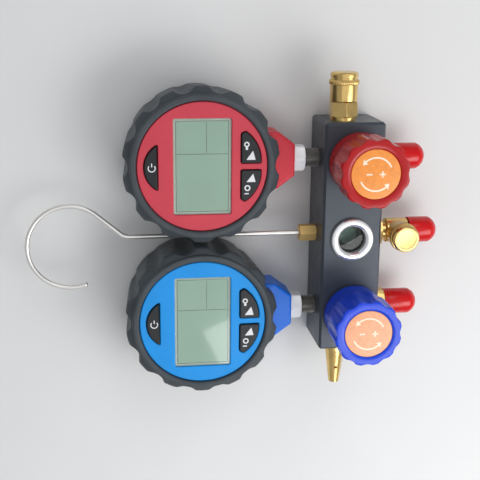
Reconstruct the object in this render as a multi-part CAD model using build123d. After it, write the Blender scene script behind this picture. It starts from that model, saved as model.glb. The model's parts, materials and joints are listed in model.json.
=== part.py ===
from build123d import *
import os
from math import acos, cos, pi, radians, sin, tan

os.makedirs("parts", exist_ok=True)

# Digital two-valve refrigerant manifold, millimetres.
# The back of the manifold block lies on z = 0 and its centre is the origin.
# +X points to the hose ports, +Y to the high side, +Z to the front.

LOW_SIDE = -1
HIGH_SIDE = 1

# ---------------------------------------------------------------- clearances
slip_fit = 0.1
running_fit = 0.05
loose_fit = 0.3
seat_gap = 0.3

# --------------------------------------------------------------------- block
block_width = 31.0
block_end = 20.0
block_depth = 33.0
block_edge = 1.2
gauge_gap = 2.0
port_height = 16.0
gallery_offset = -4.5
gallery_depth = 10.0
gallery_radius = 2.2
passage_radius = 2.5

# ------------------------------------------------------- pipe threads, flares
pipe_radius = 5.0
pipe_length = 7.6
socket_depth = 8.0
flare_radius = 5.55
flare_core = 4.6
flare_neck_length = 1.5
flare_nose_base = 4.9
flare_nose_tip = 3.0
flare_nose_length = 2.4
thread_lead_in = 0.5
port_hex = 14.0
port_hex_length = 7.0
hex_edge = 0.7
hose_thread_length = 10.0
branch_thread_length = 7.5
vacuum_thread_length = 8.0

# ---------------------------------------------------------------- centre tee
tee_collar_length = 4.0
tee_neck_radius = 4.5
tee_neck_length = 2.5
tee_body_radius = 6.4
tee_body_length = 12.0
tee_branch_radius = 5.9
tee_branch_reach = 8.0
tee_front_thread_length = 6.0

# --------------------------------------------------------------- vacuum port
vacuum_collar_radius = 6.5
vacuum_collar_length = 2.0
vacuum_hex = 13.0
vacuum_hex_length = 7.5

# --------------------------------------------------------------------- caps
cap_bore_play = 0.6
hose_cap_wall = 0.7
hose_cap_crown = 4.6
hose_cap_dome_excess = 0.35
brass_cap_wall = 0.85
brass_cap_crown = 2.6
brass_cap_edge = 0.8
cap_ring_height = 0.55
cap_ring_length = 2.4
cap_groove_depth = 0.35

# --------------------------------------------------------------- purge valve
purge_collar_radius = 5.2
purge_collar_length = 3.0
purge_length = 22.0
purge_tip_radius = 2.8
purge_bore_radius = 1.4
purge_bore_depth = 16.0
purge_vent_radius = 0.8
purge_vent_from_tip = 9.0
purge_pin_radius = 1.1
purge_pin_length = 12.0
purge_pin_inset = 0.6

# --------------------------------------------------------------- sight glass
sight_ring_radius = 11.0
sight_bore_radius = 7.0
sight_ring_height = 2.2
sight_ring_edge = 0.7
sight_thread_radius = 8.5
sight_thread_length = 1.5
sight_lens_thickness = 3.5
sight_lens_play = 0.2
sight_gasket_thickness = 1.0
sight_well_radius = 6.4
sight_well_depth = 9.5

# ---------------------------------------------------------------- hand valve
valve_offset = 2.0
valve_lift = 2.0
chamber_radius = 5.0
seat_depth = 13.5
orifice_radius = 2.0
piston_nose_radius = 3.2
piston_nose_length = 4.0
piston_length = 7.5
piston_thread_radius = 2.3
piston_thread_depth = 5.5
spindle_tip_radius = 2.0
spindle_tip_play = 1.0
spindle_collar_radius = 4.2
spindle_collar_length = 1.4
spindle_journal_radius = 2.5
spindle_square = 4.0
spindle_end_gap = 0.5
bonnet_plug_radius = 6.9
bonnet_plug_length = 5.2
bonnet_hex = 18.0
bonnet_hex_length = 5.0
bonnet_neck_radius = 5.6
bonnet_neck_length = 5.0
bonnet_shoulder = 1.8

# ---------------------------------------------------------------------- knob
knob_radius = 17.2
knob_flute_depth = 1.2
knob_skirt_inset = 1.6
knob_skirt_height = 9.0
knob_flare_height = 5.0
knob_height = 30.5
knob_ground_clearance = 1.5
knob_wall = 2.4
knob_crown = 7.0
knob_boss_radius = 6.0
knob_boss_gap = 1.0
knob_lobes = 12
knob_scallop_radius = 5.0
knob_edge = 1.2
label_radius = 12.0
label_thickness = 0.8
label_inset = 0.2
knob_screw_head_radius = 3.1
knob_screw_head_height = 2.4
knob_screw_radius = 1.5
knob_screw_length = 10.0
knob_screw_floor = 3.0

# --------------------------------------------------------------------- gauge
stem_showing = 7.5
gauge_depth = 40.0
boot_wall = 4.4
boot_foot_wall = 2.4
boot_foot_height = 2.2
boot_crest_height = 31.0
boot_crown_drop = 4.2
boot_brow_wall = 1.0
boot_brow_drop = 2.0
boot_brow_edge = 0.7
boot_valley_wall = 1.7
boot_lobes = 14
boot_scallop_radius = 6.5
boot_scallop_edge = 1.4
boot_lip_lap = 2.2
boot_back = 2.5
boot_back_lap = 2.2
boot_lip_edge = 0.5
boot_play = 0.2
housing_radius = 34.4
housing_wall = 2.0
housing_floor = 2.4
face_flange = 2.4
face_recess = 1.2
face_play = 0.3
face_thickness = 4.8
face_edge = 0.5
window_width = 28.0
window_length = 47.0
window_thickness = 1.2
window_play = 0.2
display_width = 26.0
display_length = 45.0
display_thickness = 3.2
board_thickness = 1.6
board_play = 0.8
board_post_radius = 1.6
board_post_inset = 4.0
pillar_inset = 3.3
pillar_angle = 52.0
pillar_radius = 3.6
boss_below_board = 6.5
boss_radius = 3.2
screw_radius = 1.4
screw_head_radius = 2.6
screw_head_height = 2.0
screw_head_sink = 0.4
screw_cover = 2.0
slot_width = 0.8
slot_depth = 1.0
cover_width = 26.0
cover_length = 50.0
cover_thickness = 1.6
cover_ledge = 1.2
cover_ridge_inset = 9.0
cover_ridge_pitch = 2.4
cover_ridge_depth = 0.5
cell_radius = 5.25
cell_length = 44.5
cell_spacing = 11.2
cell_button_radius = 1.9
cell_button_length = 1.0

# ---------------------------------------------------------------- gauge neck
neck_root_half = 14.6
neck_tip_half = 8.0
neck_root_inset = 4.4
neck_shoulder_reach = 5.2
neck_taper = 8.9
neck_depth = 18.0
neck_edge = 1.5
sensor_flange_radius = 6.8
sensor_flange_length = 4.0
stem_radius = 4.85
stem_bore_radius = 1.5
lock_nut_across = 12.6
lock_nut_length = 6.0

# ------------------------------------------------------------------- buttons
button_travel = 0.8
button_proud = 0.9
button_rim = 0.7
button_rim_thickness = 0.9
button_play = 0.3
button_corner = 0.8
button_edge = 0.4
power_button_border = 3.5
power_button_depth = 6.4
power_button_half = 11.0
key_gap = 5.0
key_border = 3.3
key_low = 1.8
key_high = 17.2
key_shoulder_inset = 2.0
key_shoulder_drop = 1.0
key_bulge_inset = 1.8
key_bulge_y = 10.6

# ---------------------------------------------------------------------- hook
hook_wire_radius = 1.2
hook_nut_across = 8.0
hook_nut_length = 9.0
hook_plug_radius = 3.0
hook_plug_length = 7.0
hook_pocket_radius = 2.5
hook_pocket_depth = 3.5
hook_head_radius = 2.2
hook_head_length = 1.4
hook_head_play = 0.4
hook_bow_radius = 21.5
hook_bow_gap = 5.5
hook_bow_centre_y = -4.7
hook_rise_angle = 40.0
hook_tip_angle = 290.0
hook_crank_radius = 7.0

# ------------------------------------------------- places that follow others
half_width = block_width / 2
gallery_height = block_depth - gallery_depth
seat_height = block_depth - seat_depth

knob_waist_radius = knob_radius - knob_flute_depth
knob_skirt_radius = knob_radius - knob_skirt_inset

cap_bore_radius = flare_radius + cap_bore_play
hose_cap_radius = cap_bore_radius + hose_cap_wall
hose_cap_dome_radius = hose_cap_radius + hose_cap_dome_excess

boot_cavity_radius = housing_radius + boot_play
boot_radius = boot_cavity_radius + boot_wall
boot_valley_radius = boot_cavity_radius + boot_valley_wall
boot_foot_radius = boot_cavity_radius + boot_foot_wall
boot_brow_radius = boot_cavity_radius + boot_brow_wall
boot_back_opening = boot_cavity_radius - boot_back_lap
boot_lip_radius = housing_radius - boot_lip_lap

port_pitch = 2 * boot_radius + gauge_gap
half_pitch = port_pitch / 2
block_length = port_pitch + 2 * block_end
half_length = block_length / 2

neck_inner = housing_radius - neck_root_inset
neck_shoulder = housing_radius + neck_shoulder_reach
neck_length = neck_shoulder + neck_taper
gauge_reach = neck_length + lock_nut_length + stem_showing + half_width

housing_back = boot_back + boot_play / 2
floor_top = housing_back + housing_floor
cover_top = housing_back + cover_thickness
face_top = gauge_depth - face_recess
face_underside = face_top - face_thickness
flange_top = face_underside + face_flange
face_radius = boot_lip_radius - face_play
window_bottom = face_top - window_thickness
board_top = face_underside - button_rim_thickness - button_travel - 2 * slip_fit
board_bottom = board_top - board_thickness
board_radius = housing_radius - housing_wall - board_play
board_post_reach = board_radius - board_post_inset
pillar_reach = housing_radius - housing_wall - pillar_inset
pillar_pitch_x = 2 * pillar_reach * cos(radians(pillar_angle))
pillar_pitch_y = 2 * pillar_reach * sin(radians(pillar_angle))
pillar_height = board_bottom - boss_below_board
screw_head_seat = housing_back + screw_head_sink + screw_head_height
screw_end = face_underside - screw_cover

power_button_far = face_radius - power_button_border
power_button_near = power_button_far - power_button_depth
key_near = window_width / 2 + key_gap
key_far = face_radius - key_border
key_shoulder_x = key_near + key_shoulder_inset
key_bulge_x = key_far - key_bulge_inset

hook_bow_centre_x = -(gauge_reach + boot_radius + hook_bow_gap + hook_bow_radius)


# ------------------------------------------------------------- basic shapes
def rod(radius, low, high):
    """Round bar on the Z axis between two heights."""
    bar = Cylinder(radius, high - low, align=(Align.CENTER, Align.CENTER, Align.MIN))
    return Pos(0, 0, low) * bar


def bar_block(width, length, low, high):
    """Rectangular block centred on the Z axis between two heights."""
    bar = Box(width, length, high - low, align=(Align.CENTER, Align.CENTER, Align.MIN))
    return Pos(0, 0, low) * bar


def turned(points):
    """Solid of revolution about Z from (radius, height) points."""
    profile = make_face(Polyline(*points, close=True))
    return revolve(Plane.XZ * profile, Axis.Z)


def hexagon(across_flats, low, high):
    """Hexagon bar with both ends turned down at its corners."""
    blank = RegularPolygon(across_flats / 2, 6, major_radius=False)
    prism = Pos(0, 0, low) * extrude(blank, amount=high - low)
    corner = across_flats / 2 / cos(pi / 6)
    turned_blank = turned([
        (0, low),
        (corner - hex_edge, low),
        (corner, low + hex_edge * tan(pi / 6)),
        (corner, high - hex_edge * tan(pi / 6)),
        (corner - hex_edge, high),
        (0, high),
    ])
    return prism & turned_blank


def facing(direction, x, y, z):
    """Placement whose Z axis points along direction from the point x, y, z."""
    across = (0, 0, 1) if abs(direction[2]) < 0.5 else (0, 1, 0)
    return Plane(origin=(x, y, z), x_dir=across, z_dir=direction).location


def save(node, shape):
    """Write one named sub-part."""
    shape.label = node
    export_step(shape, f"parts/{node}.step")


# ------------------------------------------------------------------ fittings
def flare_length(thread_length):
    return flare_neck_length + thread_length + flare_nose_length


def flare_end(thread_length):
    """Relief neck, thread and 45 degree sealing nose of a male flare port, from z = 0 up."""
    thread_start = flare_neck_length
    thread_end = thread_start + thread_length
    return turned([
        (passage_radius, 0),
        (flare_core, 0),
        (flare_core, thread_start),
        (flare_radius - thread_lead_in, thread_start),
        (flare_radius, thread_start + thread_lead_in),
        (flare_radius, thread_end - thread_lead_in),
        (flare_radius - thread_lead_in, thread_end),
        (flare_nose_base, thread_end),
        (flare_nose_tip, thread_end + flare_nose_length),
        (passage_radius, thread_end + flare_nose_length),
    ])


def pipe_plug():
    """Tubular pipe thread below z = 0 that screws into the block."""
    return rod(pipe_radius, -pipe_length, 0) - rod(passage_radius, -pipe_length, 0)


def hose_port():
    bore = rod(passage_radius, 0, port_hex_length)
    grip = hexagon(port_hex, 0, port_hex_length) - bore
    return pipe_plug() + grip + Pos(0, 0, port_hex_length) * flare_end(hose_thread_length)


def vacuum_port():
    hex_end = vacuum_collar_length + vacuum_hex_length
    collar = rod(vacuum_collar_radius, 0, vacuum_collar_length)
    grip = hexagon(vacuum_hex, vacuum_collar_length, hex_end)
    bore = rod(passage_radius, 0, hex_end)
    flare = Pos(0, 0, hex_end) * flare_end(vacuum_thread_length)
    return pipe_plug() + (collar + grip - bore) + flare


tee_body_start = tee_collar_length + tee_neck_length
tee_body_end = tee_body_start + tee_body_length
tee_branch_centre = (tee_body_start + tee_body_end) / 2


def centre_tee():
    """Tee along +Z whose side branch points along -X of its own frame."""
    collar = hexagon(port_hex, 0, tee_collar_length)
    neck = rod(tee_neck_radius, tee_collar_length, tee_body_start)
    body = rod(tee_body_radius, tee_body_start, tee_body_end)
    run_flare = Pos(0, 0, tee_body_end) * flare_end(branch_thread_length)
    to_branch = facing((1, 0, 0), 0, 0, tee_branch_centre)
    branch = to_branch * rod(tee_branch_radius, 0, tee_branch_reach)
    branch_flare = to_branch * Pos(0, 0, tee_branch_reach) * flare_end(tee_front_thread_length)
    branch_bore = to_branch * rod(passage_radius, 0, tee_branch_reach)
    run_bore = rod(passage_radius, 0, tee_body_end)
    body = collar + neck + body + branch - run_bore - branch_bore
    return pipe_plug() + body + run_flare + branch_flare


def purge_body():
    """Tapered bleed nipple with a blind bore and one cross vent."""
    taper = turned([
        (0, 0),
        (purge_collar_radius, 0),
        (purge_collar_radius, purge_collar_length),
        (purge_tip_radius, purge_length),
        (0, purge_length),
    ])
    bore = rod(purge_bore_radius, purge_length - purge_bore_depth, purge_length)
    vent_height = purge_length - purge_vent_from_tip
    vent = facing((1, 0, 0), 0, 0, vent_height) * rod(
        purge_vent_radius, -purge_collar_radius, purge_collar_radius)
    plug = rod(pipe_radius, -pipe_length, 0)
    return plug + taper - bore - vent


def purge_pin():
    top = purge_length - purge_pin_inset
    return rod(purge_pin_radius, top - purge_pin_length, top)


# ---------------------------------------------------------------------- caps
def push_on_cap(thread_length):
    """Moulded cap with a rounded end. Its mouth is at z = 0."""
    depth = flare_length(thread_length)
    length = depth + hose_cap_crown
    dome_centre = length - hose_cap_dome_radius
    dome_start = acos(hose_cap_radius / hose_cap_dome_radius)

    def on_dome(angle):
        return (hose_cap_dome_radius * cos(angle), dome_centre + hose_cap_dome_radius * sin(angle))

    wall = Polyline((cap_bore_radius, 0), (hose_cap_radius, 0), on_dome(dome_start))
    dome = ThreePointArc(on_dome(dome_start), on_dome((dome_start + pi / 2) / 2), (0, length))
    inside = Polyline((0, length), (0, depth), (cap_bore_radius, depth), (cap_bore_radius, 0))
    profile = make_face([*wall.edges(), *dome.edges(), *inside.edges()])
    return revolve(Plane.XZ * profile, Axis.Z)


def brass_cap(thread_length):
    """Turned brass cap with a grip ring and a grooved head. Its mouth is at z = 0."""
    depth = flare_length(thread_length)
    outer = cap_bore_radius + brass_cap_wall
    length = depth + brass_cap_crown
    ring_end = depth - cap_ring_length / 2
    ring_start = ring_end - cap_ring_length
    groove_end = ring_end + cap_ring_length / 2
    return turned([
        (cap_bore_radius, 0),
        (outer, 0),
        (outer, ring_start),
        (outer + cap_ring_height, ring_start),
        (outer + cap_ring_height, ring_end),
        (outer - cap_groove_depth, ring_end),
        (outer - cap_groove_depth, groove_end),
        (outer, groove_end),
        (outer, length - brass_cap_edge),
        (outer - brass_cap_edge, length),
        (0, length),
        (0, depth),
        (cap_bore_radius, depth),
    ])


# --------------------------------------------------------------- sight glass
def sight_ring():
    front = block_depth + sight_ring_height
    return turned([
        (sight_bore_radius, block_depth - sight_thread_length),
        (sight_thread_radius, block_depth - sight_thread_length),
        (sight_thread_radius, block_depth),
        (sight_ring_radius, block_depth),
        (sight_ring_radius, front - sight_ring_edge),
        (sight_ring_radius - sight_ring_edge, front),
        (sight_bore_radius + sight_ring_edge, front),
        (sight_bore_radius, front - sight_ring_edge),
    ])


sight_lens_top = block_depth - sight_thread_length
sight_lens_bottom = sight_lens_top - sight_lens_thickness
sight_ledge = sight_lens_bottom - sight_gasket_thickness
sight_well_floor = block_depth - sight_well_depth


def sight_lens():
    return rod(sight_thread_radius - sight_lens_play, sight_lens_bottom, sight_lens_top)


def sight_gasket():
    ring = rod(sight_thread_radius - sight_lens_play, sight_ledge, sight_lens_bottom)
    return ring - rod(sight_well_radius, sight_ledge, sight_lens_bottom)


# --------------------------------------------------------------------- block
bonnet_socket_radius = bonnet_plug_radius + slip_fit
bonnet_bottom = block_depth - bonnet_plug_length
chamber_top = bonnet_bottom


def manifold_block():
    """Bar with valve chambers, sight well, gallery and threaded sockets."""
    body = bar_block(block_width, block_length, 0, block_depth)
    body = chamfer(body.edges(), block_edge)
    socket = rod(pipe_radius + slip_fit, -socket_depth, 0)
    for side in (LOW_SIDE, HIGH_SIDE):
        y = side * half_pitch
        valve = Pos(valve_offset, y, 0)
        body -= valve * rod(orifice_radius, port_height, seat_height)
        body -= valve * rod(chamber_radius, seat_height, chamber_top)
        body -= valve * rod(bonnet_socket_radius, chamber_top, block_depth)
        body -= facing((-1, 0, 0), -half_width, y, port_height) * socket
        body -= facing((1, 0, 0), half_width, y, port_height) * socket
        crossing = block_width - 2 * socket_depth
        body -= facing((1, 0, 0), 0, y, port_height) * rod(passage_radius, -crossing / 2, crossing / 2)
    body -= rod(sight_thread_radius + slip_fit, sight_ledge, block_depth)
    body -= rod(sight_well_radius, sight_well_floor, sight_ledge)
    body -= rod(passage_radius, port_height, sight_well_floor)
    body -= facing((1, 0, 0), half_width, 0, port_height) * socket
    body -= facing((1, 0, 0), 0, 0, port_height) * rod(passage_radius, 0, half_width - socket_depth)
    for side in (LOW_SIDE, HIGH_SIDE):
        end = facing((0, side, 0), gallery_offset, side * half_length, gallery_height)
        body -= end * socket
    gallery_half = half_length - socket_depth
    gallery = facing((0, 1, 0), gallery_offset, 0, gallery_height)
    body -= gallery * rod(gallery_radius, -gallery_half, gallery_half)
    hook_socket = rod(hook_plug_radius + slip_fit, -hook_plug_length - seat_gap, 0)
    body -= facing((-1, 0, 0), -half_width, 0, port_height) * hook_socket
    return body


# ---------------------------------------------------------------- hand valve
bonnet_shoulder_height = block_depth - bonnet_shoulder
bonnet_top = block_depth + bonnet_hex_length + bonnet_neck_length
piston_top = seat_height + piston_length
spindle_tip_height = seat_height + piston_length - piston_thread_depth + valve_lift + spindle_tip_play / 2
spindle_collar_top = bonnet_shoulder_height - slip_fit
spindle_collar_bottom = spindle_collar_top - spindle_collar_length
square_start = bonnet_top + knob_boss_gap
knob_bottom = block_depth + knob_ground_clearance
knob_top = knob_bottom + knob_height
knob_cavity_top = knob_top - knob_crown
spindle_top = knob_cavity_top - spindle_end_gap


def bonnet():
    """Screwed-in gland that carries the spindle."""
    plug = rod(bonnet_plug_radius, bonnet_bottom, block_depth)
    grip = hexagon(bonnet_hex, block_depth, block_depth + bonnet_hex_length)
    neck = rod(bonnet_neck_radius, block_depth + bonnet_hex_length, bonnet_top)
    counterbore = rod(chamber_radius, bonnet_bottom, bonnet_shoulder_height)
    journal = rod(spindle_journal_radius + running_fit, bonnet_shoulder_height, bonnet_top)
    return plug + grip + neck - counterbore - journal


def piston():
    """Valve piston that closes the orifice and climbs the spindle's thread."""
    nose = rod(piston_nose_radius, seat_height, seat_height + piston_nose_length)
    guide = rod(chamber_radius - loose_fit, seat_height + piston_nose_length, piston_top)
    thread = rod(piston_thread_radius, piston_top - piston_thread_depth, piston_top)
    return nose + guide - thread


def spindle():
    tip = rod(spindle_tip_radius, spindle_tip_height, spindle_collar_bottom)
    collar = rod(spindle_collar_radius, spindle_collar_bottom, spindle_collar_top)
    journal = rod(spindle_journal_radius, spindle_collar_top, square_start)
    square = bar_block(spindle_square, spindle_square, square_start, spindle_top)
    pilot = rod(knob_screw_radius + slip_fit, knob_screw_bottom, spindle_top)
    return tip + collar + journal + square - pilot


label_top = knob_top - label_inset
label_bottom = label_top - label_thickness
knob_screw_seat = knob_cavity_top + knob_screw_floor
knob_screw_bottom = knob_screw_seat - knob_screw_length


def knob():
    """Fluted hand knob, hollow underneath, with a square-bored boss and a label recess."""
    scallop_reach = knob_waist_radius + knob_scallop_radius
    plan = Circle(knob_radius)
    for place in PolarLocations(scallop_reach, knob_lobes):
        plan -= place * Circle(knob_scallop_radius)
    plan = fillet(plan.vertices(), knob_edge)
    fluted = Pos(0, 0, knob_bottom) * extrude(plan, amount=knob_top - knob_bottom)
    flare_start = knob_bottom + knob_skirt_height
    envelope = turned([
        (0, knob_bottom),
        (knob_skirt_radius, knob_bottom),
        (knob_skirt_radius, flare_start),
        (knob_radius, flare_start + knob_flare_height),
        (knob_radius, knob_top - knob_edge),
        (knob_radius - knob_edge, knob_top),
        (0, knob_top),
    ])
    body = fluted & envelope
    cavity_radius = knob_waist_radius - knob_wall
    cavity = rod(cavity_radius, knob_bottom, knob_cavity_top)
    boss = rod(knob_boss_radius, square_start, knob_cavity_top)
    hole = spindle_square + 2 * slip_fit
    square_hole = bar_block(hole, hole, square_start, spindle_top + slip_fit)
    recess = rod(label_radius + slip_fit, label_bottom, knob_top)
    head_room = rod(knob_screw_head_radius + slip_fit, knob_screw_seat, label_bottom)
    shank_hole = rod(knob_screw_radius + slip_fit, spindle_top, knob_screw_seat)
    return body - (cavity - boss) - square_hole - recess - head_room - shank_hole


def knob_screw():
    head_top = knob_screw_seat + knob_screw_head_height
    head = rod(knob_screw_head_radius, knob_screw_seat, head_top)
    shank = rod(knob_screw_radius, knob_screw_bottom + seat_gap, knob_screw_seat)
    slot = bar_block(2 * knob_screw_head_radius, slot_width, head_top - slot_depth, head_top)
    return head + shank - slot


def knob_label():
    return rod(label_radius, label_bottom, label_top)


# --------------------------------------------------------------------- gauge
def neck_plan(growth):
    """Tapering shoulder that carries the pressure connection out of the gauge."""
    return Polygon(
        (neck_inner, -neck_root_half - growth),
        (neck_shoulder, -neck_root_half - growth),
        (neck_length, -neck_tip_half - growth),
        (neck_length, neck_tip_half + growth),
        (neck_shoulder, neck_root_half + growth),
        (neck_inner, neck_root_half + growth),
        align=None,
    )


def boot():
    """Rubber boot: lobed grip, rolled front lip, open back and a side mouth for the neck."""
    pitch_reach = boot_valley_radius + boot_scallop_radius
    plan = Circle(boot_radius)
    first_valley = 90 + 180 / boot_lobes
    for place in PolarLocations(pitch_reach, boot_lobes, start_angle=first_valley):
        plan -= place * Circle(boot_scallop_radius)
    plan = fillet(plan.vertices(), boot_scallop_edge)
    lobed = extrude(plan, amount=gauge_depth)
    envelope = turned([
        (0, 0),
        (boot_cavity_radius, 0),
        (boot_foot_radius, boot_foot_height),
        (boot_radius, boot_crest_height),
        (boot_radius, gauge_depth - boot_crown_drop),
        (boot_brow_radius, gauge_depth - boot_brow_drop),
        (boot_brow_radius, gauge_depth - boot_brow_edge),
        (boot_brow_radius - boot_brow_edge, gauge_depth),
        (0, gauge_depth),
    ])
    cavity = turned([
        (0, 0),
        (boot_back_opening, 0),
        (boot_back_opening, boot_back),
        (boot_cavity_radius, boot_back),
        (boot_cavity_radius, flange_top),
        (boot_lip_radius, flange_top),
        (boot_lip_radius, gauge_depth - boot_lip_edge),
        (boot_lip_radius + boot_lip_edge, gauge_depth),
        (0, gauge_depth),
    ])
    mouth_low = port_height - neck_depth / 2 - loose_fit
    mouth = Pos(0, 0, mouth_low) * extrude(neck_plan(loose_fit), amount=neck_depth + 2 * loose_fit)
    return (lobed & envelope) - cavity - mouth


def housing():
    """Rear case with the neck, screw pillars and battery bay."""
    cup = rod(housing_radius, housing_back, face_underside - slip_fit)
    cup -= rod(housing_radius - housing_wall, floor_top, face_underside)
    for place in GridLocations(pillar_pitch_x, pillar_pitch_y, 2, 2):
        cup += place * rod(pillar_radius, housing_back, pillar_height)
    neck = Pos(0, 0, port_height - neck_depth / 2) * extrude(neck_plan(0), amount=neck_depth)
    showing = neck.edges().filter_by(lambda edge: edge.center().X > neck_inner + neck_edge)
    neck = fillet(showing, neck_edge)
    cup += neck
    to_neck = facing((1, 0, 0), 0, 0, port_height)
    cup -= to_neck * rod(stem_radius + slip_fit, neck_inner, neck_length)
    bay_width = cover_width - 2 * cover_ledge
    bay_length = cover_length - 2 * cover_ledge
    cup -= bar_block(cover_width + 2 * slip_fit, cover_length + 2 * slip_fit, housing_back, cover_top)
    cup -= bar_block(bay_width, bay_length, housing_back, floor_top)
    for place in GridLocations(pillar_pitch_x, pillar_pitch_y, 2, 2):
        cup -= place * rod(screw_head_radius + loose_fit, housing_back, screw_head_seat)
        cup -= place * rod(screw_radius + slip_fit, screw_head_seat, pillar_height)
    return cup


def battery_cover():
    plate = bar_block(cover_width, cover_length, housing_back, cover_top)
    ridge_centre = cover_length / 2 - cover_ridge_inset
    for step in range(-2, 3):
        ridge = Pos(0, ridge_centre + step * cover_ridge_pitch, 0)
        groove_top = housing_back + cover_ridge_depth
        plate -= ridge * bar_block(cover_width / 2, cover_ridge_pitch / 2, housing_back, groove_top)
    return plate


def battery_cells():
    cells = []
    axis_height = cover_top + seat_gap + cell_radius
    for side in (-1, 1):
        cell = turned([
            (0, -cell_length / 2),
            (cell_radius, -cell_length / 2),
            (cell_radius, cell_length / 2 - cell_button_length),
            (cell_button_radius, cell_length / 2 - cell_button_length),
            (cell_button_radius, cell_length / 2),
            (0, cell_length / 2),
        ])
        cells.append(facing((0, side, 0), side * cell_spacing / 2, 0, axis_height) * cell)
    return Compound(cells)


def housing_screws():
    screws = []
    head_back = screw_head_seat - screw_head_height
    for place in GridLocations(pillar_pitch_x, pillar_pitch_y, 2, 2):
        head = rod(screw_head_radius, head_back, screw_head_seat)
        shank = rod(screw_radius, screw_head_seat, screw_end)
        slot = bar_block(2 * screw_head_radius, slot_width, head_back, head_back + slot_depth)
        screws.append(place * (head + shank - slot))
    return Compound(screws)


def power_plan():
    """D-shaped outline of the power button."""
    bulge = ThreePointArc(
        (-power_button_near, power_button_half),
        (-power_button_far, 0),
        (-power_button_near, -power_button_half),
    )
    chord = Line((-power_button_near, -power_button_half), (-power_button_near, power_button_half))
    plan = make_face(bulge + chord)
    return fillet(plan.vertices(), button_corner)


def key_plan(side):
    """Outline of one of the two keys beside the display."""
    edges = Polyline(
        (key_shoulder_x, side * key_high),
        (key_near, side * (key_high - key_shoulder_drop)),
        (key_near, side * key_low),
        (key_far, side * key_low),
    )
    bulge = ThreePointArc(
        (key_far, side * key_low),
        (key_bulge_x, side * key_bulge_y),
        (key_shoulder_x, side * key_high),
    )
    plan = make_face(edges + bulge)
    return fillet(plan.vertices().sort_by(Axis.X)[:2], button_corner)


def button(plan):
    """Moulded key with a rim that keeps it behind the face."""
    rim_top = face_underside - slip_fit
    rim = Pos(0, 0, rim_top - button_rim_thickness) * extrude(
        offset(plan, button_rim), amount=button_rim_thickness)
    cap = Pos(0, 0, rim_top) * extrude(plan, amount=face_top + button_proud - rim_top)
    cap = fillet(cap.edges().group_by(Axis.Z)[-1], button_edge)
    return rim + cap


def face():
    """Coloured front: screw bosses behind, window recess and button holes in front."""
    front = rod(face_radius, flange_top, face_top)
    front = fillet(front.edges().group_by(Axis.Z)[-1], face_edge)
    plate = rod(housing_radius, face_underside, flange_top) + front
    plate -= bar_block(display_width, display_length, face_underside, face_top)
    recess_width = window_width + 2 * window_play
    recess_length = window_length + 2 * window_play
    plate -= bar_block(recess_width, recess_length, window_bottom, face_top)
    for plan in (power_plan(), key_plan(1), key_plan(-1)):
        hole = extrude(offset(plan, button_play), amount=face_top - face_underside)
        plate -= Pos(0, 0, face_underside) * hole
    for place in GridLocations(pillar_pitch_x, pillar_pitch_y, 2, 2):
        plate += place * rod(boss_radius, pillar_height + slip_fit, face_underside)
        plate -= place * rod(screw_radius + slip_fit, pillar_height, face_underside)
    for side in (-1, 1):
        plate += Pos(0, side * board_post_reach, 0) * rod(board_post_radius, board_top, face_underside)
    return plate


def board():
    disc = rod(board_radius, board_bottom, board_top)
    for place in GridLocations(pillar_pitch_x, pillar_pitch_y, 2, 2):
        disc -= place * rod(boss_radius + loose_fit, board_bottom, board_top)
    return disc


def display():
    top = window_bottom - slip_fit
    width = display_width - 2 * window_play
    length = display_length - 2 * window_play
    return bar_block(width, length, top - display_thickness, top)


def window():
    return bar_block(window_width, window_length, window_bottom, face_top)


def stem():
    """Pressure sensor body with its threaded stem, along +X of the gauge."""
    flange = hexagon(2 * sensor_flange_radius, neck_inner - sensor_flange_length, neck_inner)
    thread_end = gauge_reach - half_width + pipe_length
    shaft = rod(stem_radius, neck_inner, thread_end)
    port = rod(stem_bore_radius, neck_length, thread_end)
    return facing((1, 0, 0), 0, 0, port_height) * (flange + shaft - port)


def lock_nut():
    nut = hexagon(lock_nut_across, neck_length, neck_length + lock_nut_length)
    nut -= rod(stem_radius + slip_fit, neck_length, neck_length + lock_nut_length)
    return facing((1, 0, 0), 0, 0, port_height) * nut


# ---------------------------------------------------------------------- hook
def hook_nut():
    """Swivel gland: hexagon outside, headed wire held in its counterbored plug."""
    body = hexagon(hook_nut_across, 0, hook_nut_length)
    body += rod(hook_plug_radius, -hook_plug_length, 0)
    body -= rod(hook_wire_radius + running_fit, -hook_plug_length, hook_nut_length)
    body -= rod(hook_pocket_radius, -hook_plug_length, hook_pocket_depth - hook_plug_length)
    return body


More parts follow.
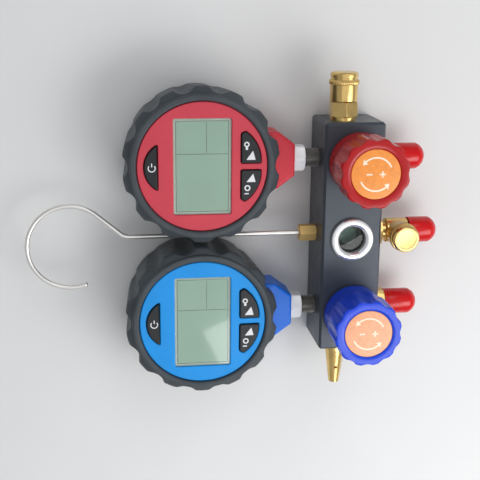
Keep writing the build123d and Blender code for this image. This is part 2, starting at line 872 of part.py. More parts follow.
def hook_wire():
    """Bent wire: headed shank, crank up to the bow, and the open bow."""
    rise = radians(hook_rise_angle)
    bow_start = radians(90 - hook_rise_angle)
    bow_tip = radians(hook_tip_angle)
    bow_middle = (bow_start + bow_tip) / 2

    def on_bow(angle):
        return (
            hook_bow_centre_x + hook_bow_radius * cos(angle),
            hook_bow_centre_y + hook_bow_radius * sin(angle),
        )

    start_x, start_y = on_bow(bow_start)
    corner_x = start_x + start_y / tan(rise)
    trim = hook_crank_radius * tan(rise / 2)
    shoulder = -half_width + hook_plug_length - hook_pocket_depth
    shank_end = shoulder + hook_head_play
    shank = Line((shank_end, 0), (corner_x + trim, 0))
    crank = TangentArc(
        (corner_x + trim, 0),
        (corner_x - trim * cos(rise), trim * sin(rise)),
        tangent=(-1, 0),
    )
    ramp = Line((corner_x - trim * cos(rise), trim * sin(rise)), (start_x, start_y))
    bow = ThreePointArc((start_x, start_y), on_bow(bow_middle), on_bow(bow_tip))
    path = Wire([*shank.edges(), *crank.edges(), *ramp.edges(), *bow.edges()])
    section = Plane(origin=(shank_end, 0, 0), x_dir=(0, 1, 0), z_dir=(-1, 0, 0)) * Circle(hook_wire_radius)
    wire = sweep(section, path=path)
    head = facing((1, 0, 0), shank_end, 0, 0) * rod(hook_head_radius, 0, hook_head_length)
    tip_x, tip_y = on_bow(bow_tip)
    tip = Pos(tip_x, tip_y, 0) * Sphere(hook_wire_radius)
    return Pos(0, 0, port_height) * (wire + head + tip)


# ---------------------------------------------------------------- whole part
save("manifold_block", manifold_block())
save("sight_ring", sight_ring())
save("sight_lens", sight_lens())
save("sight_gasket", sight_gasket())
save("hook_nut", facing((-1, 0, 0), -half_width, 0, port_height) * hook_nut())
save("hook_wire", hook_wire())

for name, side in (("low", LOW_SIDE), ("high", HIGH_SIDE)):
    at_valve = Pos(valve_offset, side * half_pitch, 0)
    save(f"{name}_bonnet", at_valve * bonnet())
    save(f"{name}_piston", at_valve * piston())
    save(f"{name}_spindle", at_valve * spindle())
    save(f"{name}_knob", at_valve * knob())
    save(f"{name}_knob_screw", at_valve * knob_screw())
    save(f"{name}_knob_label", at_valve * knob_label())

    at_port = facing((1, 0, 0), half_width, side * half_pitch, port_height)
    save(f"{name}_hose_port", at_port * hose_port())
    cap_start = Pos(0, 0, port_hex_length + seat_gap)
    save(f"{name}_port_cap", at_port * cap_start * push_on_cap(hose_thread_length))

    at_gauge = Pos(-gauge_reach, side * half_pitch, 0)
    gauge_parts = {
        "boot": boot(),
        "housing": housing(),
        "face": face(),
        "window": window(),
        "display": display(),
        "board": board(),
        "cells": battery_cells(),
        "battery_cover": battery_cover(),
        "housing_screws": housing_screws(),
        "stem": stem(),
        "lock_nut": lock_nut(),
        "power_button": button(power_plan()),
        "upper_key": button(key_plan(1)),
        "lower_key": button(key_plan(-1)),
    }
    for piece, shape in gauge_parts.items():
        save(f"{name}_gauge_{piece}", at_gauge * shape)

at_centre = facing((1, 0, 0), half_width, 0, port_height)
save("centre_tee", at_centre * centre_tee())
at_run = at_centre * Pos(0, 0, tee_body_end + seat_gap)
save("centre_port_cap", at_run * push_on_cap(branch_thread_length))
at_branch = facing(
    (0, 0, 1), half_width + tee_branch_centre, 0, port_height + tee_branch_reach + seat_gap)
save("branch_cap", at_branch * brass_cap(tee_front_thread_length))

at_vacuum = facing((0, 1, 0), gallery_offset, half_length, gallery_height)
save("vacuum_port", at_vacuum * vacuum_port())
at_vacuum_cap = at_vacuum * Pos(0, 0, vacuum_collar_length + vacuum_hex_length + seat_gap)
save("vacuum_cap", at_vacuum_cap * brass_cap(vacuum_thread_length))

at_purge = facing((0, -1, 0), gallery_offset, -half_length, gallery_height)
save("purge_valve", at_purge * purge_body())
save("purge_pin", at_purge * purge_pin())
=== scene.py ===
"""Looks of the refrigerant manifold gauge: every visible surface, laid over its fixed CAD frame."""

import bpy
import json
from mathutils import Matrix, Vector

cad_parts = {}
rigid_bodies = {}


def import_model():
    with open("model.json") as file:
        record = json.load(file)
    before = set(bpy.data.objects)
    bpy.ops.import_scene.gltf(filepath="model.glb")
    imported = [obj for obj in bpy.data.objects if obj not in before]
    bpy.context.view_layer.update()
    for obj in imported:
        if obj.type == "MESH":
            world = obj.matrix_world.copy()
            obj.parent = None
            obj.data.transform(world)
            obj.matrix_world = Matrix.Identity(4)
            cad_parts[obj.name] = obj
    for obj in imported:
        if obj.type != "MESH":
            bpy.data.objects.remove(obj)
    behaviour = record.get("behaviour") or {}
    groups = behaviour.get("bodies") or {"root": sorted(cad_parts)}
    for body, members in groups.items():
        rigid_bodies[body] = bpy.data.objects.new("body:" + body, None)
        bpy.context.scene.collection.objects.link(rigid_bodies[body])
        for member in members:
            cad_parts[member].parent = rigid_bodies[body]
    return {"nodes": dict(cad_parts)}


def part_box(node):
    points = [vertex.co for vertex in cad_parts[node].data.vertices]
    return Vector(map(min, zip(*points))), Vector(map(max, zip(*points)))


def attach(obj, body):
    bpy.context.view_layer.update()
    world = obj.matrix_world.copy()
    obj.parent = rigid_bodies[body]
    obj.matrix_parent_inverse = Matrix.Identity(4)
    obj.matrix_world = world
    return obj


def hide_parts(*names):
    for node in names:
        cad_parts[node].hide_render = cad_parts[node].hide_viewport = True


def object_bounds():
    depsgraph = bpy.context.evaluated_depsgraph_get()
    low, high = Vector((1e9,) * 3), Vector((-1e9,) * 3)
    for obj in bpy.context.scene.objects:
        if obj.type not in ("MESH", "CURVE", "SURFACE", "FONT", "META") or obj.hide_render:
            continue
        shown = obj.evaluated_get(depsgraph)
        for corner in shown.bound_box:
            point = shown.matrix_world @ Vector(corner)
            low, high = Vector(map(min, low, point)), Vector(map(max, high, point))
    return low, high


bl_info = {
    "name": "Refrigerant Manifold Gauge",
    "version": (1, 0, 0),
    "blender": (4, 5, 0),
    "location": "3D View > Sidebar > Manifold",
    "description": "Builds the visible pieces and finishes of a digital two-valve manifold gauge set",
    "category": "Object",
}

import json
from math import acos, atan2, cos, exp, hypot, log, pi, radians, sin, sqrt, tan

import bmesh
import bpy
from mathutils import Matrix, Vector

for leftover in list(bpy.data.objects):
    bpy.data.objects.remove(leftover)
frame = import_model()
CAD_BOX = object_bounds()

MM = 0.001
SIDES = ("low", "high")

# Places shared by several pieces, in metres.
PORT_LEVEL = 0.016
BLOCK_SIDE = 0.0155
BLOCK_END = 0.060

# Levels in a gauge above its back, and its case radius, in millimetres.
FLANGE_LEVEL = 34.0
LEDGE_LEVEL = 36.4
FACE_LEVEL = 38.8
RIM_LEVEL = 40.0
CASE_RADIUS = 34.4
KEY_CORNER = 0.8
PORT_HEX = 14.0
HEX_EDGE = 0.7
PORT_FOOT = (0.0, -0.05)
CAP_BORE = 6.15
KEY_PLAY = 0.3


def node_middle(node):
    """Middle of a CAD node's box, in metres."""
    low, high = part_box(node)
    return (low + high) / 2


def node_size(node):
    """Extents of a CAD node's box, in millimetres."""
    low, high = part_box(node)
    return (high - low) / MM


# ------------------------------------------------------------------ settings
def tone(red, green, blue):
    """Scene-linear colour from a display colour in 0 to 255."""
    full, toe, slope, lift, power = 255, 0.04045, 12.92, 0.055, 2.4

    def linear(value):
        value /= full
        return value / slope if value <= toe else ((value + lift) / (1 + lift)) ** power
    return (linear(red), linear(green), linear(blue))


def length(name, description, default):
    """Size that can be set, given in millimetres."""
    return bpy.props.FloatProperty(
        name=name, description=description, default=default * MM, min=0.0, precision=5,
        subtype="DISTANCE", unit="LENGTH")


def colour(name, description, default):
    """Colour that can be set, as scene-linear red, green and blue."""
    return bpy.props.FloatVectorProperty(
        name=name, description=description, default=default, size=3, min=0.0, max=1.0,
        subtype="COLOR")


class ManifoldSizes(bpy.types.PropertyGroup):
    """Sizes of the visible pieces that the frame leaves open."""

    boot_lobes: bpy.props.IntProperty(
        name="Boot lobes", description="Grip lobes round each rubber boot", default=14, min=6)
    boot_radius: length("Boot radius", "Radius of a boot over its lobes", 39.0)
    boot_valley: length("Boot valley radius", "Radius of a boot between two lobes", 36.3)
    boot_scallop: length("Boot scallop radius", "Radius of the hollow between two lobes", 6.5)
    boot_lip: length("Boot lip radius", "Inner radius of the rolled front lip", 32.2)
    boot_brow: length("Boot brow radius", "Outer radius of the smooth front ring", 35.6)
    knob_lobes: bpy.props.IntProperty(
        name="Knob lobes", description="Grip flutes round each hand knob", default=12, min=4)
    knob_radius: length("Knob radius", "Radius of a hand knob over its lobes", 17.2)
    knob_waist: length("Knob waist radius", "Radius of a hand knob between two lobes", 16.0)
    knob_scallop: length("Knob scallop radius", "Radius of the hollow between two lobes", 5.0)
    knob_skirt: length("Knob skirt radius", "Radius of the plain foot of a hand knob", 15.6)
    label_radius: length("Label radius", "Radius of the disc on a hand knob", 12.0)
    flare_radius: length("Flare radius", "Major radius of the hose threads", 5.55)
    flare_pitch: length("Flare pitch", "Pitch of the hose threads", 1.27)
    stem_radius: length("Stem radius", "Major radius of the gauge stems", 4.85)
    stem_pitch: length("Stem pitch", "Pitch of the gauge stem threads", 1.0)
    window_corner: length("Window corner", "Corner radius of the gauge windows", 0.8)
    face_edge: length("Face edge", "Rounding along the edges of a gauge face", 0.5)
    key_edge: length("Key edge", "Rounding along the edges of a key", 0.4)


class ManifoldColours(bpy.types.PropertyGroup):
    """Colours of the finishes."""

    block: colour("Block", "Satin slate paint of the valve block", tone(66, 73, 82))
    brass: colour("Brass", "Turned brass of ports, glands and caps", (0.82, 0.57, 0.21))
    rubber: colour("Boot rubber", "Moulded rubber of the boots", tone(58, 65, 70))
    red_face: colour("High side face", "Moulded front of the high side gauge", tone(206, 62, 78))
    blue_face: colour("Low side face", "Moulded front of the low side gauge", tone(2, 148, 230))
    red_case: colour("High side case", "Moulded case and neck of the high side gauge", tone(218, 50, 66))
    blue_case: colour("Low side case", "Moulded case and neck of the low side gauge", tone(4, 114, 230))
    red_knob: colour("High side knob", "Moulded hand knob of the high side", tone(178, 6, 14))
    blue_knob: colour("Low side knob", "Moulded hand knob of the low side", tone(18, 68, 216))
    red_disc: colour("High side disc", "Printed disc on the high side knob", tone(248, 148, 52))
    blue_disc: colour("Low side disc", "Printed disc on the low side knob", tone(242, 168, 122))
    cap: colour("Hose cap", "Moulded red caps on the hose ports", tone(208, 8, 14))
    display: colour("Display", "Blank liquid crystal panel", tone(150, 180, 160))
    key: colour("Key", "Moulded keys", tone(28, 30, 33))


# ------------------------------------------------------------------ finishes
class Finish:
    """A node material while its layers are being put together."""

    def __init__(self, name, base, roughness, metallic=0.0, **fixed):
        self.material = bpy.data.materials.new(name)
        self.material.use_nodes = True
        tree = self.material.node_tree
        self.nodes, self.links = tree.nodes, tree.links
        self.shader = self.nodes["Principled BSDF"]
        self.base = (*base, 1.0)
        self.set("Base Color", self.base)
        self.set("Roughness", roughness)
        self.set("Metallic", metallic)
        for socket, value in fixed.items():
            self.set(socket.replace("_", " ").title().replace("Ior", "IOR"), value)
        self.position = self.add("ShaderNodeTexCoord").outputs["Object"]
        self.relief = None

    def set(self, socket, value):
        self.shader.inputs[socket].default_value = value

    def add(self, kind, **settings):
        made = self.nodes.new(kind)
        for key, value in settings.items():
            setattr(made, key, value)
        return made

    def join(self, source, target):
        self.links.new(source, target)

    def grain(self, size, detail=3.0, stretch=(1.0, 1.0, 1.0)):
        """Cloudy pattern with features of about the given size in millimetres."""
        mapping = self.add("ShaderNodeMapping")
        mapping.inputs["Scale"].default_value = stretch
        self.join(self.position, mapping.inputs["Vector"])
        noise = self.add("ShaderNodeTexNoise")
        noise.inputs["Scale"].default_value = 1.0 / (size * MM)
        noise.inputs["Detail"].default_value = detail
        self.join(mapping.outputs["Vector"], noise.inputs["Vector"])
        return noise.outputs["Fac"]

    def spread(self, value, low, high, start=0.3, end=0.7):
        """The pattern stretched from low to high."""
        ranged = self.add("ShaderNodeMapRange")
        ranged.inputs["From Min"].default_value = start
        ranged.inputs["From Max"].default_value = end
        ranged.inputs["To Min"].default_value = low
        ranged.inputs["To Max"].default_value = high
        self.join(value, ranged.inputs["Value"])
        return ranged.outputs["Result"]

    def blend(self, value, first, second):
        """Colour between two colours or sockets, by a pattern."""
        mix = self.add("ShaderNodeMix", data_type="RGBA")
        self.join(value, mix.inputs["Factor"])
        for socket, given in (("A", first), ("B", second)):
            target = [s for s in mix.inputs if s.name == socket and s.type == "RGBA"][0]
            if isinstance(given, bpy.types.NodeSocket):
                self.join(given, target)
            else:
                target.default_value = (*given[:3], 1.0)
        return [s for s in mix.outputs if s.type == "RGBA"][0]

    def tint(self, socket):
        self.join(socket, self.shader.inputs["Base Color"])

    def mottle(self, size, lighter, darker, detail=3.0):
        """Base colour that drifts between a lighter and a darker share of itself."""
        light = tuple(min(1.0, part * lighter) for part in self.base[:3])
        dark = tuple(part * darker for part in self.base[:3])
        made = self.blend(self.spread(self.grain(size, detail), 0.0, 1.0), dark, light)
        self.tint(made)
        return made

    def rough(self, value, low, high):
        self.join(self.spread(value, low, high), self.shader.inputs["Roughness"])

    def emboss(self, value, height, strength=1.0):
        """Relief of the given height in millimetres, laid over any earlier relief."""
        bump = self.add("ShaderNodeBump")
        bump.inputs["Strength"].default_value = strength
        bump.inputs["Distance"].default_value = height * MM
        self.join(value, bump.inputs["Height"])
        if self.relief:
            self.join(self.relief, bump.inputs["Normal"])
        self.relief = bump.outputs["Normal"]
        self.join(self.relief, self.shader.inputs["Normal"])

    def rings(self, pitch, bands="Z"):
        """Fine tool marks round the local axis of a turned piece."""
        wave = self.add("ShaderNodeTexWave", wave_type="BANDS", bands_direction=bands)
        wave.inputs["Scale"].default_value = 0.314 / (pitch * MM)
        wave.inputs["Distortion"].default_value = 1.5
        wave.inputs["Detail"].default_value = 2.0
        wave.inputs["Detail Scale"].default_value = 1.5
        self.join(self.position, wave.inputs["Vector"])
        return wave.outputs["Fac"]


def painted_aluminium(name, base):
    finish = Finish(name, base, roughness=0.42, metallic=0.25, coat_weight=0.15, coat_roughness=0.35)
    finish.mottle(size=22.0, lighter=1.06, darker=0.94, detail=4.0)
    finish.rough(finish.grain(size=6.0, detail=4.0), low=0.36, high=0.46)
    finish.emboss(finish.grain(size=0.35, detail=2.0), height=0.012, strength=0.6)
    return finish.material


def turned_brass(name, base):
    finish = Finish(name, base, roughness=0.22, metallic=0.92)
    finish.mottle(size=7.0, lighter=1.05, darker=0.86, detail=4.0)
    finish.rough(finish.grain(size=2.5, detail=3.0), low=0.14, high=0.27)
    finish.emboss(finish.rings(pitch=0.22), height=0.006, strength=0.5)
    return finish.material


def plated(name, base, roughness, metallic=1.0):
    finish = Finish(name, base, roughness, metallic)
    finish.mottle(size=9.0, lighter=1.02, darker=0.96)
    finish.rough(finish.grain(size=3.0, detail=4.0), low=roughness * 0.7, high=roughness * 1.5)
    finish.emboss(finish.grain(size=0.8, detail=2.0), height=0.003, strength=0.4)
    return finish.material


def bright_steel(name, base):
    finish = Finish(name, base, roughness=0.34, metallic=0.9)
    finish.mottle(size=9.0, lighter=1.03, darker=0.93, detail=4.0)
    finish.rough(finish.grain(size=4.0, detail=3.0), low=0.28, high=0.40)
    finish.emboss(finish.grain(size=0.6, detail=2.0), height=0.002, strength=0.3)
    return finish.material


def moulded_rubber(name, base):
    finish = Finish(name, base, roughness=0.55, sheen_weight=0.06)
    finish.mottle(size=14.0, lighter=1.18, darker=0.85, detail=5.0)
    finish.rough(finish.grain(size=5.0, detail=4.0), low=0.46, high=0.62)
    finish.emboss(finish.grain(size=0.45, detail=3.0), height=0.03, strength=0.55)
    return finish.material


def moulded_plastic(name, base, roughness, texture=0.008):
    finish = Finish(name, base, roughness, specular_ior_level=0.4)
    finish.mottle(size=18.0, lighter=1.05, darker=0.95)
    finish.rough(finish.grain(size=7.0, detail=3.0), low=roughness * 0.85, high=roughness * 1.15)
    finish.emboss(finish.grain(size=0.5, detail=2.0), height=texture, strength=0.5)
    return finish.material


def liquid_crystal(name, base):
    """Blank display with drifting tone and the faint weave of its electrodes."""
    finish = Finish(name, base, roughness=0.34)
    finish.mottle(size=30.0, lighter=1.08, darker=0.95, detail=2.0)
    weave = finish.grain(size=0.25, detail=1.0, stretch=(1.0, 0.2, 1.0))
    finish.emboss(weave, height=0.004, strength=0.3)
    return finish.material


def printed_disc(name, base):
    finish = Finish(name, base, roughness=0.36, coat_weight=0.2, coat_roughness=0.2)
    finish.mottle(size=1.6, lighter=1.12, darker=0.9, detail=4.0)
    finish.emboss(finish.grain(size=0.5, detail=2.0), height=0.01, strength=0.4)
    return finish.material


def clear_pane(name, tint, gloss):
    """Transparent sheet whose reflections grow towards grazing angles."""
    face_on, gain, falloff = 0.04, 0.8, 5.0
    material = bpy.data.materials.new(name)
    material.use_nodes = True
    nodes, links = material.node_tree.nodes, material.node_tree.links
    nodes.clear()
    out = nodes.new("ShaderNodeOutputMaterial")
    mix = nodes.new("ShaderNodeMixShader")
    through = nodes.new("ShaderNodeBsdfTransparent")
    through.inputs["Color"].default_value = (*tint, 1.0)
    shine = nodes.new("ShaderNodeBsdfGlossy")
    shine.inputs["Roughness"].default_value = gloss
    slant = nodes.new("ShaderNodeLayerWeight")
    slant.inputs["Blend"].default_value = 0.5
    rise = nodes.new("ShaderNodeMath")
    rise.operation = "POWER"
    rise.inputs[1].default_value = falloff
    share = nodes.new("ShaderNodeMath")
    share.operation = "MULTIPLY_ADD"
    share.inputs[1].default_value = gain
    share.inputs[2].default_value = face_on
    links.new(slant.outputs["Facing"], rise.inputs[0])
    links.new(rise.outputs["Value"], share.inputs[0])
    links.new(share.outputs["Value"], mix.inputs["Fac"])
    links.new(through.outputs["BSDF"], mix.inputs[1])
    links.new(shine.outputs["BSDF"], mix.inputs[2])
    links.new(mix.outputs["Shader"], out.inputs["Surface"])
    return material


def laminate(name, base):
    finish = Finish(name, base, roughness=0.4)
    finish.mottle(size=2.0, lighter=1.4, darker=0.7, detail=5.0)
    finish.emboss(finish.grain(size=0.6, detail=2.0), height=0.02, strength=0.5)
    return finish.material


FINISHES = {}


def finish_named(name):
    """The set's finish of that name, made the first time it is asked for."""
    if name in FINISHES:
        return FINISHES[name]
    shade = bpy.context.scene.manifold_colours
    makers = {
        "block_paint": lambda: painted_aluminium("block_paint_satin", shade.block),
        "brass": lambda: turned_brass("brass_turned", shade.brass),
        "brass_satin": lambda: plated("brass_satin", shade.brass, roughness=0.42, metallic=0.6),
        "chrome": lambda: plated("chrome_plate", (0.93, 0.94, 0.94), roughness=0.14, metallic=0.75),
        "nickel": lambda: plated("nickel_plate", (0.97, 0.98, 0.99), roughness=0.42, metallic=0.2),
        "stem_steel": lambda: bright_steel("stem_steel_dark", (0.34, 0.33, 0.31)),
        "steel": lambda: bright_steel("steel_bright", (0.86, 0.84, 0.80)),
        "boot_rubber": lambda: moulded_rubber("rubber_moulded", shade.rubber),
        "high_face": lambda: moulded_plastic("face_red", shade.red_face, roughness=0.48),
        "low_face": lambda: moulded_plastic("face_blue", shade.blue_face, roughness=0.48),
        "high_housing": lambda: moulded_plastic("case_red", shade.red_case, roughness=0.38),
        "low_housing": lambda: moulded_plastic("case_blue", shade.blue_case, roughness=0.38),
        "high_knob": lambda: moulded_plastic("knob_red", shade.red_knob, roughness=0.22),
        "low_knob": lambda: moulded_plastic("knob_blue", shade.blue_knob, roughness=0.22),
        "high_disc": lambda: printed_disc("disc_orange", shade.red_disc),
        "low_disc": lambda: printed_disc("disc_salmon", shade.blue_disc),
        "cap_plastic": lambda: moulded_plastic("cap_red", shade.cap, roughness=0.18, texture=0.004),
        "display": lambda: liquid_crystal("display_blank", shade.display),
        "display_rim": lambda: moulded_plastic("display_rim_pale", tone(176, 190, 176), roughness=0.4),
        "display_mark": lambda: moulded_plastic("display_mark_dark", tone(84, 98, 88), roughness=0.4),
        "key_rubber": lambda: moulded_plastic("key_dark", shade.key, roughness=0.4, texture=0.012),
        "key_print": lambda: moulded_plastic(
            "key_print_white", tone(232, 234, 236), roughness=0.45, texture=0.002),
        "disc_print": lambda: moulded_plastic(
            "disc_print_cream", tone(255, 238, 214), roughness=0.45, texture=0.002),
        "window": lambda: clear_pane("window_acrylic", tint=(0.98, 0.99, 0.985), gloss=0.05),
        # Painted shade: the lens tint, far darker than clear glass, darkens the well seen through it; only
        # its faint green is the glass's own.
        "sight_lens": lambda: clear_pane("sight_glass_shade_tint", tint=(0.50, 0.58, 0.55), gloss=0.02),
        "board": lambda: laminate("board_green", (0.03, 0.2, 0.09)),
        "cell": lambda: moulded_plastic("cell_wrap", tone(70, 72, 76), roughness=0.3),
        "gasket": lambda: moulded_rubber("gasket_black", tone(26, 26, 26)),
    }
    FINISHES[name] = makers[name]()
    return FINISHES[name]


# -------------------------------------------------------------------- shapes
def facing(direction, origin=(0, 0, 0)):
    """Placement whose Z axis points along direction, from an origin in metres."""
    ahead = Vector(direction).normalized()
    across = Vector((0, 0, 1)) if abs(ahead.z) < 0.5 else Vector((0, 1, 0))
    along = ahead.cross(across)
    turn = Matrix((across, along, ahead)).transposed().to_4x4()
    return Matrix.Translation(Vector(origin)) @ turn


def upright(origin):
    return Matrix.Translation(Vector(origin))


def finish_mesh(mesh, sharp):
    """Merge doubled points, face every polygon outwards, and smooth all but the sharp edges."""
    work = bmesh.new()
    work.from_mesh(mesh)
    bmesh.ops.remove_doubles(work, verts=work.verts, dist=1e-7)
    bmesh.ops.recalc_face_normals(work, faces=work.faces)
    work.to_mesh(mesh)
    work.free()
    mesh.polygons.foreach_set("use_smooth", [True] * len(mesh.polygons))
    mesh.set_sharp_from_angle(angle=radians(sharp))
    mesh.update()


def spin(name, rows, segments=96, closed=False, sharp=32):
    """Mesh turned round the Z axis. Rows are (radius, height) in millimetres, each a number or a
    function of the angle, and a closed one joins its last row to its first."""
    points, faces = [], []
    for radius, height in rows:
        for step in range(segments):
            angle = 2 * pi * step / segments
            reach = radius(angle) if callable(radius) else radius
            level = height(angle) if callable(height) else height
            points.append((reach * cos(angle) * MM, reach * sin(angle) * MM, level * MM))
    bands = len(rows) if closed else len(rows) - 1
    for band in range(bands):
        low = band * segments
        high = (band + 1) % len(rows) * segments
        for step in range(segments):
            after = (step + 1) % segments
            faces.append((low + step, low + after, high + after, high + step))
    mesh = bpy.data.meshes.new(name)
    mesh.from_pydata(points, [], faces)
    finish_mesh(mesh, sharp)
    return mesh


def eased(profile, steps=4, closed=False):
    """Profile whose corners are rounded. Each point is (radius, height) or (radius, height, ease)."""
    rows = []
    count = len(profile)
    for index, point in enumerate(profile):
        ease = point[2] if len(point) > 2 else 0
        here = Vector(point[:2])
        if not ease or (not closed and index in (0, count - 1)):
            rows.append(tuple(here))
            continue
        before = Vector(profile[index - 1][:2])
        after = Vector(profile[(index + 1) % count][:2])
        start = here + (before - here).normalized() * ease
        end = here + (after - here).normalized() * ease
        for step in range(steps + 1):
            share = step / steps
            place = start.lerp(here, share).lerp(here.lerp(end, share), share)
            rows.append(tuple(place))
    return rows


def subdivided(rows, longest):
    """Rows with extra ones wherever two stand further apart than the longest step."""
    made = [rows[0]]
    for before, after in zip(rows, rows[1:]):
        gap = hypot(after[0] - before[0], after[1] - before[1])
        pieces = max(1, int(gap / longest + 0.999))
        for step in range(1, pieces + 1):
            share = step / pieces
            made.append(tuple(a + (b - a) * share for a, b in zip(before, after)))
    return made


def scalloped(rows, valley, cutter, lobes, phase, softness):
    """Rows whose radius is held back by round hollows between the lobes."""
    reach = valley + cutter
    step = 2 * pi / lobes
    far = 30.0

    def hollow(angle):
        offset = (angle - phase + step / 2) % step - step / 2
        inside = cutter ** 2 - (reach * sin(offset)) ** 2
        return reach * cos(offset) - sqrt(inside) if inside > 0 else None

    def limited(radius):
        def at(angle):
            cut = hollow(angle)
            if cut is None:
                edge = reach * cos(min(step / 2, 1.0))
                cut = max(edge, radius + 4 * softness)
            gap = max(-far, min(far, (cut - radius) / softness))
            return radius - softness * log(1 + exp(-gap))
        return at

    return [(limited(radius), height) for radius, height in rows]


def hex_reach(across):
    """Radius of a hexagon bar by angle, with a corner at angle 0."""
    return lambda angle: across / 2 / cos(angle % (pi / 3) - pi / 6)


def hex_rows(across, low, high, edge):
    """Rows of a hexagon grip with its corners turned down at both ends."""
    corner = across / 2 / cos(pi / 6)
    drop = edge * tan(pi / 6)
    flat = hex_reach(across)

    def held(limit):
        return lambda angle: min(flat(angle), limit)

    steps = 4
    shares = [step / steps for step in range(steps + 1)]
    rows = [(held(corner - edge * (1 - share)), low + drop * share) for share in shares]
    rows += [(held(corner - edge * (1 - share)), high - drop * share) for share in shares[-2::-1]]
    return rows


def thread_rows(radius, pitch, low, high, lead):
    """Rows of a right-hand screw thread with a lead-in at both ends."""
    depth = pitch * 0.6
    rows_per_turn, flank, run_in = 8, 2.4, 0.25
    rows = []
    count = int((high - low) / pitch * rows_per_turn)
    for step in range(count + 1):
        level = low + (high - low) * step / count
        room = min(1.0, (level - low) / lead + run_in, (high - level) / lead + run_in)

        def at(angle, level=level, room=room):
            phase = (level / pitch - angle / (2 * pi)) % 1.0
            crest = min(1.0, flank * abs(phase - 0.5))
            return radius - depth + depth * crest * room

        rows.append((at, level))
    return rows


def oblong(width, depth, corner, centre=(0.0, 0.0), steps=6):
    """Outline of a rectangle with rounded corners, in millimetres."""
    points = []
    for quarter in range(4):
        turn = quarter * pi / 2
        across = (width / 2 - corner) * (1 if quarter in (0, 3) else -1)
        along = (depth / 2 - corner) * (1 if quarter in (0, 1) else -1)
        for step in range(steps + 1):
            angle = turn + pi / 2 * step / steps
            points.append((centre[0] + across + corner * cos(angle),
                           centre[1] + along + corner * sin(angle)))
    return points


def circle(radius, steps=96, centre=(0.0, 0.0)):
    return [(centre[0] + radius * cos(2 * pi * step / steps),
             centre[1] + radius * sin(2 * pi * step / steps)) for step in range(steps)]


def arc_through(first, middle, last, steps):
    """Points of the arc that runs through three points."""
    (ax, ay), (bx, by), (cx, cy) = first, middle, last
    span = 2 * (ax * (by - cy) + bx * (cy - ay) + cx * (ay - by))
    x = ((ax**2 + ay**2) * (by - cy) + (bx**2 + by**2) * (cy - ay) + (cx**2 + cy**2) * (ay - by)) / span
    y = ((ax**2 + ay**2) * (cx - bx) + (bx**2 + by**2) * (ax - cx) + (cx**2 + cy**2) * (bx - ax)) / span
    start = atan2(ay - y, ax - x)
    pass_by = (atan2(by - y, bx - x) - start) % (2 * pi)
    sweep = (atan2(cy - y, cx - x) - start) % (2 * pi)
    if pass_by > sweep:
        sweep -= 2 * pi
    radius = hypot(ax - x, ay - y)
    return [(x + radius * cos(start + sweep * step / steps), y + radius * sin(start + sweep * step / steps))
            for step in range(steps + 1)]


def rounded_corners(points, radius, steps=5):
    """Outline with each sharp corner replaced by an arc of about the given radius."""
    nearly_straight, most, shortest = radians(150), 0.45, 1e-6
    made = []
    count = len(points)
    for index, point in enumerate(points):
        here = Vector(point)
        before = Vector(points[index - 1])
        after = Vector(points[(index + 1) % count])
        back, ahead = (before - here), (after - here)
        if min(back.length, ahead.length) < shortest or back.angle(ahead) > nearly_straight:
            made.append(point)
            continue
        reach = min(radius, back.length * most, ahead.length * most)
        start = here + back.normalized() * reach
        end = here + ahead.normalized() * reach
        for step in range(steps + 1):
            share = step / steps
            made.append(tuple(start.lerp(here, share).lerp(here.lerp(end, share), share)))
    return made


def plate(name, outlines, low, high, edge=0.0, sharp=40):
    """Flat piece between two heights from an outline and its holes, with rounded rims."""
    curve = bpy.data.curves.new(name, "CURVE")
    curve.dimensions = "2D"
    curve.fill_mode = "BOTH"
    for outline in outlines:
        spline = curve.splines.new("POLY")
        spline.points.add(len(outline) - 1)
        for point, (x, y) in zip(spline.points, outline):
            point.co = (x * MM, y * MM, 0.0, 1.0)
        spline.use_cyclic_u = True
    curve.extrude = ((high - low) / 2 - edge) * MM
    curve.bevel_depth = edge * MM
    curve.bevel_resolution = 2
    curve.offset = -edge * MM
    holder = bpy.data.objects.new(name, curve)
    bpy.context.scene.collection.objects.link(holder)
    bpy.context.view_layer.update()
    graph = bpy.context.evaluated_depsgraph_get()
    mesh = bpy.data.meshes.new_from_object(holder.evaluated_get(graph))
    bpy.data.objects.remove(holder)
    bpy.data.curves.remove(curve)
    mesh.name = name
    mesh.transform(Matrix.Translation((0, 0, (low + high) / 2 * MM)))
    finish_mesh(mesh, sharp)
    flat = 0.999
    for polygon in mesh.polygons:
        polygon.use_smooth = abs(polygon.normal.z) < flat
    return mesh


def carve(mesh, cutter, sharp=32):
    """The mesh with the cutter's mesh taken away from it."""
    holders = []
    for part in (mesh, cutter):
        holder = bpy.data.objects.new(part.name, part)
        bpy.context.scene.collection.objects.link(holder)
        holders.append(holder)
    taking = holders[0].modifiers.new("carve", "BOOLEAN")
    taking.operation = "DIFFERENCE"
    taking.solver = "EXACT"
    taking.object = holders[1]
    bpy.context.view_layer.update()
    graph = bpy.context.evaluated_depsgraph_get()
    carved = bpy.data.meshes.new_from_object(holders[0].evaluated_get(graph))
    for holder in holders:
        bpy.data.objects.remove(holder)
    if len(carved.polygons) < len(mesh.polygons) / 2:
        raise RuntimeError(f"{mesh.name} lost its shape while it was carved")
    finish_mesh(carved, sharp)
    return carved


def fit(name, mesh, placement, finish, body, slot, *nodes):
    """Put a mesh in its place as a piece that rides on a body and stands for CAD nodes."""
    piece = bpy.data.objects.new(name, mesh)
    bpy.context.scene.collection.objects.link(piece)
    piece.matrix_world = placement
    mesh.materials.clear()
    mesh.materials.append(finish_named(finish))
    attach(piece, body)
    if nodes:
        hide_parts(*nodes)
    return piece


def dress(finish, *nodes):
    """Give CAD nodes a finish of this set."""
    for node in nodes:
        for place in frame["nodes"][node].material_slots:
            place.material = finish_named(finish)


def tinge(side):
    """Slot colour word of a side."""
    return "red" if side == "high" else "blue"


